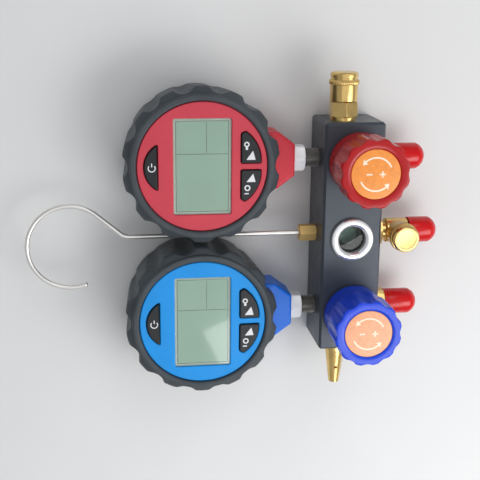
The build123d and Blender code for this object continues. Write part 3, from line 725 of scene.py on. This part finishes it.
def gauge_centre(side):
    """Centre of a gauge on its back plane, in metres."""
    middle = node_middle(f"{side}_gauge_window")
    return (middle.x, middle.y, 0.0)


# ---------------------------------------------------------------- operators
class MANIFOLD_OT_stage(bpy.types.Operator):
    """Pale floor, soft studio lights and the camera."""

    bl_idname = "manifold.stage"
    bl_label = "Stage"

    def execute(self, context):
        low, high = CAD_BOX
        middle = (low + high) / 2
        below = 0.0001
        self.floor(middle, low.z - below)
        self.camera(context, middle)
        self.lights(context, middle)
        return {"FINISHED"}

    def floor(self, middle, level):
        mesh = bpy.data.meshes.new("floor")
        half = 3.0
        corners = ((-1, -1), (1, -1), (1, 1), (-1, 1))
        points = [(middle.x + x * half, middle.y + y * half, level) for x, y in corners]
        mesh.from_pydata(points, [], [(0, 1, 2, 3)])
        ground = bpy.data.objects.new("floor", mesh)
        bpy.context.scene.collection.objects.link(ground)
        finish = Finish("floor_pale", (0.78, 0.78, 0.77), roughness=0.8)
        finish.mottle(size=120.0, lighter=1.02, darker=0.98)
        mesh.materials.append(finish.material)

    def camera(self, context, middle):
        eye = Vector((-0.1229, 0.126, 0.490))
        roll = radians(-0.5)
        ahead = (middle - eye).normalized()
        aside = ahead.cross(Vector((0, 1, 0))).normalized()
        over = aside.cross(ahead)
        tilted = aside * cos(roll) + over * -sin(roll)
        raised = over * cos(roll) + aside * sin(roll)
        lens = bpy.data.cameras.new("viewer")
        lens.lens = 71.0
        lens.sensor_width = 36.0
        lens.clip_start = 0.01
        viewer = bpy.data.objects.new("viewer", lens)
        bpy.context.scene.collection.objects.link(viewer)
        turn = Matrix((tilted, raised, -ahead)).transposed().to_4x4()
        viewer.matrix_world = Matrix.Translation(eye) @ turn
        context.scene.camera = viewer

    def lights(self, context, middle):
        def softbox(name, place, aim, side, power, turn=0.0):
            lamp = bpy.data.lights.new(name, "AREA")
            lamp.shape = "SQUARE"
            lamp.size = side
            lamp.energy = power
            box = bpy.data.objects.new(name, lamp)
            bpy.context.scene.collection.objects.link(box)
            place = Vector(place)
            gaze = (Vector(aim) - place).to_track_quat("-Z", "Y").to_matrix().to_4x4()
            spun = Matrix.Rotation(radians(turn), 4, "Z")
            box.matrix_world = Matrix.Translation(place) @ gaze @ spun

        softbox("front_softbox", (0.309, -0.358, 0.56), aim=(0.309, -0.358, 0.0),
                side=0.5, power=2.6, turn=26.0)
        softbox("side_softbox", (0.78, -0.25, 0.75), aim=middle, side=0.6, power=2.2)
        softbox("back_softbox", (0.15, 0.80, 0.80), aim=middle, side=0.5, power=1.4)
        softbox("ceiling_softbox", (0.10, -0.20, 1.25), aim=(0.10, -0.20, 0.0), side=1.6, power=3.4)
        world = bpy.data.worlds.new("studio")
        world.use_nodes = True
        sky = world.node_tree.nodes["Background"].inputs
        sky["Color"].default_value = (0.93, 0.95, 1.0, 1.0)
        sky["Strength"].default_value = 0.42
        context.scene.world = world
        context.scene.view_settings.view_transform = "Standard"


class MANIFOLD_OT_block(bpy.types.Operator):
    """Satin valve block, with its brass glands, pistons and spindles."""

    bl_idname = "manifold.block"
    bl_label = "Valve block"

    def execute(self, context):
        dress("block_paint", "manifold_block")
        for side in SIDES:
            dress("brass", f"{side}_bonnet", f"{side}_piston")
            dress("steel", f"{side}_spindle", f"{side}_knob_screw")
        return {"FINISHED"}


class MANIFOLD_OT_sight_glass(bpy.types.Operator):
    """Polished ring, lens tinted dark as painted shade over the well, and gasket of the sight glass, with
    the cup in its well.
    """

    bl_idname = "manifold.sight_glass"
    bl_label = "Sight glass"

    def execute(self, context):
        middle = node_middle("sight_ring")
        low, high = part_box("sight_ring")
        size = node_size("sight_ring")
        outer = size.x / 2
        front = (high.z - low.z) / MM
        seat, bore, thread = 1.5, 7.0, 8.5
        ring = eased([
            (bore, 0.0), (thread, 0.0), (thread, seat), (outer, seat, 0.25), (outer, front - 0.5, 0.5),
            (outer - 1.1, front, 0.5), (8.3, front, 0.5), (bore, front - 1.0, 0.5),
        ], closed=True)
        mesh = spin("sight_ring_polished", ring, 128, closed=True, sharp=50)
        fit("sight_ring_polished", mesh, upright((middle.x, middle.y, low.z)), "chrome",
            "manifold", "chrome", "sight_ring")
        lens_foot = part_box("sight_lens")[0].z
        lens_size = node_size("sight_lens")
        rim = lens_size.x / 2
        lens = eased([(0.0, 0.0), (rim, 0.0, 0.2), (rim, lens_size.z, 0.3), (0.0, lens_size.z)])
        place = upright((middle.x, middle.y, lens_foot))
        # The lens's dark tint paints shade over the well behind it.
        fit("sight_lens_shade_tinted", spin("sight_lens_shade_tinted", lens, 96), place,
            "sight_lens", "manifold", "sight_glass", "sight_lens")
        dress("gasket", "sight_gasket")
        well_floor, clear = 23.5, 0.1
        cup = eased([
            (0.0, 0.9), (1.6, 0.9, 0.2), (1.9, 0.1, 0.2), (3.6, 0.1, 0.2), (3.9, 0.7, 0.2), (4.6, 0.7),
        ])
        place = upright((middle.x, middle.y, (well_floor + clear) * MM))
        fit("sight_float", spin("sight_float", cup, 64), place, "nickel", "manifold", "chrome")
        return {"FINISHED"}


class MANIFOLD_OT_boots(bpy.types.Operator):
    """Lobed rubber boots with their rolled front lips and side mouths."""

    bl_idname = "manifold.boots"
    bl_label = "Gauge boots"

    def execute(self, context):
        size = context.scene.manifold_sizes
        top = size.boot_radius / MM
        lip = size.boot_lip / MM
        brow = size.boot_brow / MM
        wall, mid_height = 34.6, 20.0
        back_lap, back_thickness = 32.4, 2.5
        crest_level, crown_level = 31.0, 35.8
        outside = eased([
            (back_lap, 0.0), (wall, 0.0, 0.3), (37.0, 2.2, 1.0), (37.3, 6.0, 1.5), (top, crest_level, 4.0),
            (top, crown_level, 1.6), (brow + 0.7, 37.7, 0.7), (brow, 38.1, 0.3), (brow, 39.4, 0.4),
            (brow - 0.6, RIM_LEVEL, 0.4), (lip + 0.7, RIM_LEVEL, 0.5), (lip, 39.3, 0.5), (lip, LEDGE_LEVEL),
        ], steps=5)
        outside = subdivided(outside, longest=2.4)
        inside = [(wall, LEDGE_LEVEL), (wall, mid_height),
                  (wall, back_thickness), (back_lap, back_thickness)]
        phase = radians(90) + pi / size.boot_lobes
        rows = scalloped(outside, size.boot_valley / MM, size.boot_scallop / MM,
                         size.boot_lobes, phase, softness=0.32)
        neck = neck_outline(growth=0.3)
        neck_level, neck_half = PORT_LEVEL / MM, 9.3
        for side in SIDES:
            mesh = spin(f"{side}_boot", rows + inside, size.boot_lobes * 20, closed=True, sharp=50)
            mouth = plate("boot_mouth", [neck], neck_level - neck_half, neck_level + neck_half)
            mesh = carve(mesh, mouth, 50)
            fit(f"{side}_boot", mesh, upright(gauge_centre(side)), "boot_rubber",
                "manifold", "boot_rubber", f"{side}_gauge_boot")
        return {"FINISHED"}


def neck_outline(growth):
    """Outline of a gauge's side neck, grown by a clearance, in millimetres from the gauge's centre."""
    half_root, half_tip = 14.6 + growth, 8.0 + growth
    root, shoulder, tip = 30.0, 39.6, 48.5
    return [(root, -half_root), (shoulder, -half_root), (tip, -half_tip),
            (tip, half_tip), (shoulder, half_root), (root, half_root)]


def power_outline():
    """D-shaped outline of the power button."""
    flat_side, far_side, half = -22.0, -28.4, 11.0
    bulge = arc_through((flat_side, half), (far_side, 0.0), (flat_side, -half), 28)
    return rounded_corners(bulge, KEY_CORNER)


def key_outline(side):
    """Outline of one of the two keys beside the display."""
    near, far, low = 19.0, 28.6, side * 1.8
    bulge = arc_through((far, low), (26.8, side * 10.6), (21.0, side * 17.2), 20)
    rest = [(near, side * 16.2), (near, low)]
    return rounded_corners(bulge + rest, KEY_CORNER)


def grown(outline, growth):
    """Outline moved outwards along its own normals."""
    count = len(outline)
    pairs = [(outline[index - 1], outline[index]) for index in range(count)]
    area = sum(last[0] * here[1] - here[0] * last[1] for last, here in pairs)
    turn = 1 if area > 0 else -1
    made = []
    for index, point in enumerate(outline):
        before, after = Vector(outline[index - 1]), Vector(outline[(index + 1) % count])
        along = (after - before).normalized()
        made.append((point[0] + along.y * growth * turn, point[1] - along.x * growth * turn))
    return made


class MANIFOLD_OT_faces(bpy.types.Operator):
    """Coloured gauge fronts, their windows and blank displays."""

    bl_idname = "manifold.faces"
    bl_label = "Gauge faces"

    def execute(self, context):
        size = context.scene.manifold_sizes
        corner = size.window_corner / MM
        edge = size.face_edge / MM
        window = node_size("low_gauge_window")
        shown = node_size("low_gauge_display")
        buttons = (power_outline(), key_outline(1), key_outline(-1))
        holes = [grown(outline, KEY_PLAY) for outline in buttons]
        opening = oblong(26.0, 45.0, 0.5)
        front_radius = 31.9
        play, ledge_play = 0.4, 0.5
        panel_thickness = 3.2
        for side in SIDES:
            place = upright(gauge_centre(side))
            paint = tinge(side)
            back = plate(f"{side}_face_back", [circle(CASE_RADIUS, 128), opening, *holes],
                         FLANGE_LEVEL, LEDGE_LEVEL)
            fit(f"{side}_face_back", back, place, f"{side}_face", "manifold", f"{paint}_face")
            recess = oblong(window.x + play, window.y + play, corner + play / 2)
            front = plate(f"{side}_face", [circle(front_radius, 160), recess, *holes],
                          LEDGE_LEVEL - edge, FACE_LEVEL, edge)
            fit(f"{side}_face", front, place, f"{side}_face", "manifold", f"{paint}_face",
                f"{side}_gauge_face")
            frame_rim = oblong(window.x + ledge_play, window.y + ledge_play, corner)
            ledge = plate(f"{side}_window_ledge", [frame_rim, opening], LEDGE_LEVEL, 37.55)
            fit(f"{side}_window_ledge", ledge, place, "display_rim", "manifold", f"{paint}_face")
            pane = plate(f"{side}_window", [oblong(window.x, window.y, corner)], 37.6, FACE_LEVEL, 0.25)
            fit(f"{side}_window", pane, place, "window", "manifold", "window_clear",
                f"{side}_gauge_window")
            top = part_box(f"{side}_gauge_display")[1].z / MM
            panel = plate(f"{side}_display", [oblong(shown.x, shown.y, 0.6)],
                          top - panel_thickness, top, 0.12)
            fit(f"{side}_display", panel, place, "display", "manifold", "display_panel",
                f"{side}_gauge_display")
            self.marks(side, place, top, shown)
        return {"FINISHED"}

    def marks(self, side, place, top, shown):
        """Dividing lines printed on the blank display."""
        across = shown.y * 0.5 - shown.y * 0.36
        split = shown.x * 0.08
        corner, ink = 0.1, 0.03
        lines = [
            ("across", oblong(shown.x - 0.4, 0.28, corner, (0.0, across))),
            ("down", oblong(0.22, shown.y * 0.34, corner, (split, across + shown.y * 0.175))),
        ]
        for word, outline in lines:
            mark = plate(f"{side}_display_line_{word}", [outline], top, top + ink)
            fit(f"{side}_display_line_{word}", mark, place, "display_mark", "manifold", "display_panel")


class MANIFOLD_OT_keys(bpy.types.Operator):
    """Power buttons and key pairs with their printed signs."""

    bl_idname = "manifold.keys"
    bl_label = "Gauge keys"

    def execute(self, context):
        edge = context.scene.manifold_sizes.key_edge / MM
        rim_low, rim_high, rim_growth, ink = 33.0, 33.9, 0.7, 0.02
        keys = {
            "power_button": power_outline(),
            "upper_key": key_outline(1),
            "lower_key": key_outline(-1),
        }
        for side in SIDES:
            place = upright(gauge_centre(side))
            for word, outline in keys.items():
                body = f"{side}_gauge_{word}"
                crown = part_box(body)[1].z / MM
                rim = plate(f"{side}_{word}_rim", [grown(outline, rim_growth)], rim_low, rim_high)
                fit(f"{side}_{word}_rim", rim, place, "key_rubber", body, "key_rubber")
                cap = plate(f"{side}_{word}", [outline], rim_high, crown, edge)
                fit(f"{side}_{word}", cap, place, "key_rubber", body, "key_rubber", body)
                for number, sign in enumerate(self.signs(word)):
                    name = f"{side}_{word}_sign_{number}"
                    print_mesh = plate(name, sign, crown, crown + ink)
                    fit(name, print_mesh, place, "key_print", body, "key_rubber")
        return {"FINISHED"}

    def signs(self, word):
        """Outlines of the plain signs on a key: power, a lamp over a peak, or a ring over a peak."""
        soft, blunt = 0.2, 0.3
        if word == "power_button":
            centre, stroke = (-24.7, 0.0), 0.5
            ring = self.open_ring(centre, 1.7, stroke, gap_at=pi / 2, gap=radians(50))
            bar = oblong(stroke, 1.9, soft, (centre[0], centre[1] + 1.5), 3)
            return [[ring], [bar]]
        if word == "upper_key":
            peak = [(21.3, 3.4), (25.9, 3.4), (24.6, 7.9)]
            bulb = (21.5, 11.0)
            lamp, glow = circle(1.35, 28, bulb), circle(0.7, 24, bulb)
            stalk = oblong(1.2, 1.3, soft, (21.5, 9.0), 3)
            return [[rounded_corners(peak, blunt)], [lamp, glow], [stalk]]
        peak = [(21.5, -7.6), (26.0, -7.6), (24.8, -3.4)]
        centre = (22.0, -10.6)
        ring, hole = circle(1.5, 32, centre), circle(0.85, 28, centre)
        foot = oblong(2.2, 0.6, soft, (21.6, -13.4), 3)
        return [[rounded_corners(peak, blunt)], [ring, hole], [foot]]

    def open_ring(self, centre, radius, width, gap_at, gap):
        """Outline of a ring with a gap in it."""
        steps = 28
        sides = []
        for reach in (radius + width / 2, radius - width / 2):
            side = []
            for step in range(steps + 1):
                angle = gap_at + gap + (2 * pi - 2 * gap) * step / steps
                side.append((centre[0] + reach * cos(angle), centre[1] + reach * sin(angle)))
            sides.append(side)
        outer, inner = sides
        return outer + inner[::-1]


class MANIFOLD_OT_cases(bpy.types.Operator):
    """Rear cases, necks, stems and the works inside the gauges."""

    bl_idname = "manifold.cases"
    bl_label = "Gauge cases"

    def execute(self, context):
        size = context.scene.manifold_sizes
        for side in SIDES:
            gauge = f"{side}_gauge_"
            paint = f"{side}_housing"
            dress(paint, gauge + "housing", gauge + "battery_cover")
            dress("board", gauge + "board")
            dress("cell", gauge + "cells")
            dress("steel", gauge + "housing_screws")
            self.stem(side, size)
        return {"FINISHED"}

    def stem(self, side, size):
        """Threaded stem, sensor flange and plated lock nut along +X of a gauge."""
        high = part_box(f"{side}_gauge_stem")[1]
        centre = gauge_centre(side)
        axis = (centre[0], centre[1], PORT_LEVEL)
        radius = size.stem_radius / MM
        end = (high.x - centre[0]) / MM
        flange_start, flange_end = 26.0, 30.0
        bore_radius, bore_depth = 1.5, 6.0
        flange = hex_rows(13.6, flange_start, flange_end, 0.7)
        thread = thread_rows(radius, size.stem_pitch / MM, flange_end + 0.1, end - 0.4, lead=0.8)
        rows = [(0.0, flange_start), *flange, (radius - 0.5, flange_end), *thread, (radius - 0.9, end),
                (bore_radius, end), (bore_radius, end - bore_depth), (0.0, end - bore_depth)]
        fit(f"{side}_stem", spin(f"{side}_stem", rows, 60, sharp=40), facing((1, 0, 0), axis),
            "stem_steel", "manifold", "steel", f"{side}_gauge_stem")
        nut_low, nut_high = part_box(f"{side}_gauge_lock_nut")
        start = (nut_low.x - centre[0]) / MM
        stop = (nut_high.x - centre[0]) / MM
        bore = radius + 0.1
        rows = [(bore, start), *hex_rows(12.6, start, stop, 0.8), (bore + 0.4, stop), (bore, stop - 0.4)]
        fit(f"{side}_lock_nut", spin(f"{side}_lock_nut", rows, 96, closed=True, sharp=30),
            facing((1, 0, 0), axis), "nickel", "manifold", "chrome", f"{side}_gauge_lock_nut")


class MANIFOLD_OT_knobs(bpy.types.Operator):
    """Fluted hand knobs and their printed discs."""

    bl_idname = "manifold.knobs"
    bl_label = "Hand knobs"

    def execute(self, context):
        size = context.scene.manifold_sizes
        for side in SIDES:
            self.knob(side, size)
            self.disc(side, size)
        return {"FINISHED"}

    def knob(self, side, size):
        low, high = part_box(f"{side}_knob")
        centre = node_middle(f"{side}_knob")
        foot, top = low.z / MM, high.z / MM
        radius, skirt = size.knob_radius / MM, size.knob_skirt / MM
        recess = size.label_radius / MM + 0.1
        hollow, boss, screw_head, screw = 13.6, 6.0, 3.2, 1.6
        recess_floor, screw_seat, crown = top - 1.05, top - 4.0, top - 7.0
        socket_top, socket_mouth = top - 7.4, foot + 10.0
        outside = eased([
            (hollow, foot, 0.0), (skirt, foot, 0.5), (skirt, foot + 9.0, 1.5), (radius, foot + 14.0, 2.0),
            (radius, top, 1.5), (recess + 0.4, top, 0.0), (recess, top - 0.4, 0.0), (recess, recess_floor),
        ], steps=5)
        outside = subdivided(outside, longest=2.0)
        rows = scalloped(outside, size.knob_waist / MM, size.knob_scallop / MM, size.knob_lobes,
                         phase=0.0, softness=0.22)
        square = square_reach(2.1)
        rows += [(screw_head, recess_floor), (screw_head, screw_seat), (screw, screw_seat),
                 (screw, socket_top), (square, socket_top), (square, socket_mouth),
                 (boss, socket_mouth), (boss, crown), (hollow, crown)]
        mesh = spin(f"{side}_hand_knob", rows, size.knob_lobes * 16, closed=True, sharp=48)
        fit(f"{side}_hand_knob", mesh, upright((centre.x, centre.y, 0.0)), f"{side}_knob",
            f"{side}_knob", f"{tinge(side)}_knob", f"{side}_knob")

    def disc(self, side, size):
        low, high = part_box(f"{side}_knob_label")
        centre = node_middle(f"{side}_knob_label")
        radius = size.label_radius / MM
        depth = (high.z - low.z) / MM
        profile = eased([(0.0, 0.0), (radius, 0.0, 0.1), (radius, depth, 0.25), (0.0, depth)])
        place = upright((centre.x, centre.y, low.z))
        fit(f"{side}_disc", spin(f"{side}_disc", profile, 120), place, f"{side}_disc",
            f"{side}_knob", f"{tinge(side)}_side_label", f"{side}_knob_label")
        ink = 0.03
        for number, outline in enumerate(self.turn_sign()):
            name = f"{side}_disc_sign_{number}"
            fit(name, plate(name, outline, depth, depth + ink), place, "disc_print",
                f"{side}_knob", f"{tinge(side)}_side_label")

    def turn_sign(self):
        """Two curved arrows with a minus and a plus between them."""
        track, outside, inside = 8.0, 8.4, 7.6
        head_outside, head_inside, head_length = 9.6, 6.4, radians(16)
        begin, sweep, steps = radians(25), radians(105), 18
        signs = []
        for half in (0, 1):
            start = begin + half * pi
            angles = [start + sweep * step / steps for step in range(steps + 1)]
            outer = [(outside * cos(angle), outside * sin(angle)) for angle in angles]
            inner = [(inside * cos(angle), inside * sin(angle)) for angle in angles]
            tip = start + sweep
            ahead = tip + head_length
            head = [(head_outside * cos(tip), head_outside * sin(tip)),
                    (track * cos(ahead), track * sin(ahead)),
                    (head_inside * cos(tip), head_inside * sin(tip))]
            signs.append([outer + inner[::-1]])
            signs.append([head])
        beside, bar_length, bar_width = 3.2, 3.0, 0.7
        signs.append([oblong(bar_length, bar_width, 0.2, (-beside, 0.0), 3)])
        reach, half_bar = bar_length / 2, bar_width / 2
        arm = [(reach, -half_bar), (reach, half_bar), (half_bar, half_bar)]
        plus = []
        for quarter in range(4):
            turn = Matrix.Rotation(quarter * pi / 2, 2)
            plus += [tuple(turn @ Vector(point) + Vector((beside, 0.0))) for point in arm]
        signs.append([plus])
        return signs


def square_reach(half):
    """Radius of a square bore by angle."""
    return lambda angle: half / cos((angle + pi / 4) % (pi / 2) - pi / 4)


def flare_rows(start, thread, radius, pitch):
    """Rows of a male flare end from its relief neck to the mouth of its bore."""
    core, bore, bore_depth, clear = 4.6, 2.5, 5.0, 0.02
    neck_top = start + 1.5
    thread_top = neck_top + thread
    nose = thread_top + 2.4
    turns = thread_rows(radius, pitch, neck_top + clear, thread_top - clear, lead=0.6)
    return [(core, start), (core, neck_top), *turns, (4.9, thread_top), (3.1, nose - 0.12), (2.9, nose),
            (2.6, nose), (bore, nose - 0.2), (bore, nose - bore_depth), (0.0, nose - bore_depth)]


class MANIFOLD_OT_ports(bpy.types.Operator):
    """Brass flare ports, the centre tee and the vacuum port, with their threads."""

    bl_idname = "manifold.ports"
    bl_label = "Ports"

    def execute(self, context):
        size = context.scene.manifold_sizes
        radius, pitch = size.flare_radius / MM, size.flare_pitch / MM
        grip_top = 7.0
        for side in SIDES:
            middle = node_middle(f"{side}_hose_port")
            rows = [PORT_FOOT, *hex_rows(PORT_HEX, 0.0, grip_top, HEX_EDGE),
                    *flare_rows(grip_top, 10.0, radius, pitch)]
            fit(f"{side}_flare_port", spin(f"{side}_flare_port", rows, 96, sharp=35),
                facing((1, 0, 0), (BLOCK_SIDE, middle.y, PORT_LEVEL)), "brass",
                "manifold", "brass", f"{side}_hose_port")
        collar, collar_top, grip_top = 6.5, 2.0, 9.5
        rows = [PORT_FOOT, (collar, 0.0), (collar, 1.8), (6.3, collar_top),
                *hex_rows(13.0, collar_top, grip_top, HEX_EDGE), *flare_rows(grip_top, 8.0, radius, pitch)]
        middle = node_middle("vacuum_cap")
        fit("vacuum_flare_port", spin("vacuum_flare_port", rows, 96, sharp=35),
            facing((0, 1, 0), (middle.x, BLOCK_END, middle.z)), "brass",
            "manifold", "brass", "vacuum_port")
        self.tee(radius, pitch)
        return {"FINISHED"}

    def tee(self, radius, pitch):
        """Turned tee: its run leaves the block, and its branch stands up from the run."""
        core, neck, barrel, branch_radius = 4.6, 4.5, 6.4, 5.9
        collar_top, neck_top, barrel_top, branch_top = 4.0, 6.5, 18.5, 8.0
        branch_place = 0.028
        body = [PORT_FOOT, *hex_rows(PORT_HEX, 0.0, collar_top, HEX_EDGE), *eased([
            (neck, collar_top), (neck, neck_top, 0.3), (barrel, neck_top, 0.5),
            (barrel, barrel_top, 0.6), (core, barrel_top)], steps=3)]
        rows = body + flare_rows(barrel_top, 7.5, radius, pitch)[1:]
        fit("centre_tee_run", spin("centre_tee_run", rows, 96, sharp=35),
            facing((1, 0, 0), (BLOCK_SIDE, 0.0, PORT_LEVEL)), "brass", "manifold", "brass", "centre_tee")
        branch = eased([
            (0.0, 0.0), (branch_radius, 0.0), (branch_radius, branch_top, 0.5), (core, branch_top)], steps=3)
        rows = branch + flare_rows(branch_top, 6.0, radius, pitch)[1:]
        fit("centre_tee_branch", spin("centre_tee_branch", rows, 96, sharp=35),
            upright((branch_place, 0.0, PORT_LEVEL)), "brass", "manifold", "brass")


class MANIFOLD_OT_caps(bpy.types.Operator):
    """Red push-on caps and the two grooved brass caps."""

    bl_idname = "manifold.caps"
    bl_label = "Port caps"

    def execute(self, context):
        for node in ("low_port_cap", "high_port_cap", "centre_port_cap"):
            self.push_on(node)
        self.turned("branch_cap", (0, 0, 1))
        self.turned("vacuum_cap", (0, 1, 0))
        return {"FINISHED"}

    def push_on(self, node):
        """Moulded cap: a beaded mouth, a plain wall and a domed end."""
        low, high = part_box(node)
        middle = node_middle(node)
        long = (high.x - low.x) / MM
        outer = (high.z - low.z) / MM / 2
        groove = outer - 0.12
        crown, dome, steps, soft = 4.6, 7.2, 14, 0.1
        depth = long - crown
        centre = long - dome
        start = acos(outer / dome)
        rows = eased([(CAP_BORE + 0.15, 0.0), (outer, 0.0, 0.25), (outer, 1.1, soft), (groove, 1.3, soft),
                      (groove, 1.8, soft), (outer, 2.0, soft), (outer, centre + dome * sin(start))], steps=3)
        for step in range(1, steps + 1):
            angle = start + (pi / 2 - start) * step / steps
            rows.append((dome * cos(angle), centre + dome * sin(angle)))
        bevel = 0.6
        inside = [(0.0, depth), (CAP_BORE - bevel, depth), (CAP_BORE, depth - bevel), (CAP_BORE, 0.2)]
        mesh = spin(f"{node}_moulded", rows + inside, 96, closed=True, sharp=50)
        fit(f"{node}_moulded", mesh, facing((1, 0, 0), (low.x, middle.y, middle.z)), "cap_plastic",
            node, "cap_plastic", node)

    def turned(self, node, direction):
        """Turned cap: knurled grip ring, groove and a chamfered flat head."""
        low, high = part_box(node)
        middle = node_middle(node)
        ahead = Vector(direction)
        long = (high - low).dot(ahead) / MM
        crown, outer = 2.6, 7.0
        depth = long - crown
        ring_gap, ring_length, ring_height = 1.2, 2.4, 0.55
        ring_end = depth - ring_gap
        ring_start = ring_end - ring_length
        knurled = outer + ring_height
        ridges, ridge_depth, shoulder = 24, 0.22, 0.25
        groove = outer - 0.35
        dish_radius, dish_depth, chamfer = 5.2, 0.12, 0.8

        def knurl(angle):
            return knurled - ridge_depth * abs(sin(angle * ridges))

        def knurl_shoulder(angle):
            return knurl(angle) - shoulder

        rows = eased([(CAP_BORE, 0.0), (outer, 0.0, 0.3), (outer, ring_start - 0.1)], steps=3)
        rows += [(outer, ring_start), (knurl_shoulder, ring_start + 0.05), (knurl, ring_start + 0.35),
                 (knurl, ring_end - 0.35), (knurl_shoulder, ring_end - 0.05), (outer, ring_end)]
        rows += eased([(groove, ring_end), (groove, depth), (outer, depth, 0.15),
                       (outer, long - chamfer, 0.15), (outer - chamfer, long, 0.2), (dish_radius, long, 0.1),
                       (dish_radius - 0.2, long - dish_depth, 0.1), (0.0, long - dish_depth)], steps=3)
        rows += [(0.0, depth), (CAP_BORE, depth)]
        start = middle - ahead * (long / 2 * MM)
        mesh = spin(f"{node}_turned", rows, 192, closed=True, sharp=40)
        fit(f"{node}_turned", mesh, facing(direction, start), "brass", node, "brass", node)


class MANIFOLD_OT_bleed(bpy.types.Operator):
    """Tapered bleed nipple and its spring pin."""

    bl_idname = "manifold.bleed"
    bl_label = "Bleed nipple"

    def execute(self, context):
        dress("brass", "purge_valve", "purge_pin")
        return {"FINISHED"}


class MANIFOLD_OT_hook(bpy.types.Operator):
    """Swivelling wire hook and its hexagon gland."""

    bl_idname = "manifold.hook"
    bl_label = "Hook"

    def execute(self, context):
        dress("steel", "hook_wire")
        dress("brass_satin", "hook_nut")
        return {"FINISHED"}


OPERATORS = (
    MANIFOLD_OT_stage,
    MANIFOLD_OT_block,
    MANIFOLD_OT_sight_glass,
    MANIFOLD_OT_boots,
    MANIFOLD_OT_faces,
    MANIFOLD_OT_keys,
    MANIFOLD_OT_cases,
    MANIFOLD_OT_knobs,
    MANIFOLD_OT_ports,
    MANIFOLD_OT_caps,
    MANIFOLD_OT_bleed,
    MANIFOLD_OT_hook,
)


class MANIFOLD_PT_sidebar(bpy.types.Panel):
    """Sizes, colours and makers of the manifold gauge set."""

    bl_idname = "MANIFOLD_PT_sidebar"
    bl_label = "Manifold gauge"
    bl_space_type = "VIEW_3D"
    bl_region_type = "UI"
    bl_category = "Manifold"

    def draw(self, context):
        for operator in OPERATORS:
            self.layout.operator(operator.bl_idname)
        for group in (context.scene.manifold_sizes, context.scene.manifold_colours):
            column = self.layout.column(align=True)
            for key in group.__annotations__:
                column.prop(group, key)


CLASSES = (ManifoldSizes, ManifoldColours, *OPERATORS, MANIFOLD_PT_sidebar)


def register():
    for part in CLASSES:
        bpy.utils.register_class(part)
    bpy.types.Scene.manifold_sizes = bpy.props.PointerProperty(type=ManifoldSizes)
    bpy.types.Scene.manifold_colours = bpy.props.PointerProperty(type=ManifoldColours)


def unregister():
    del bpy.types.Scene.manifold_colours
    del bpy.types.Scene.manifold_sizes
    for part in reversed(CLASSES):
        bpy.utils.unregister_class(part)


def main():
    register()
    for operator in OPERATORS:
        group, word = operator.bl_idname.split(".")
        getattr(getattr(bpy.ops, group), word)()


if __name__ == "__main__":
    main()
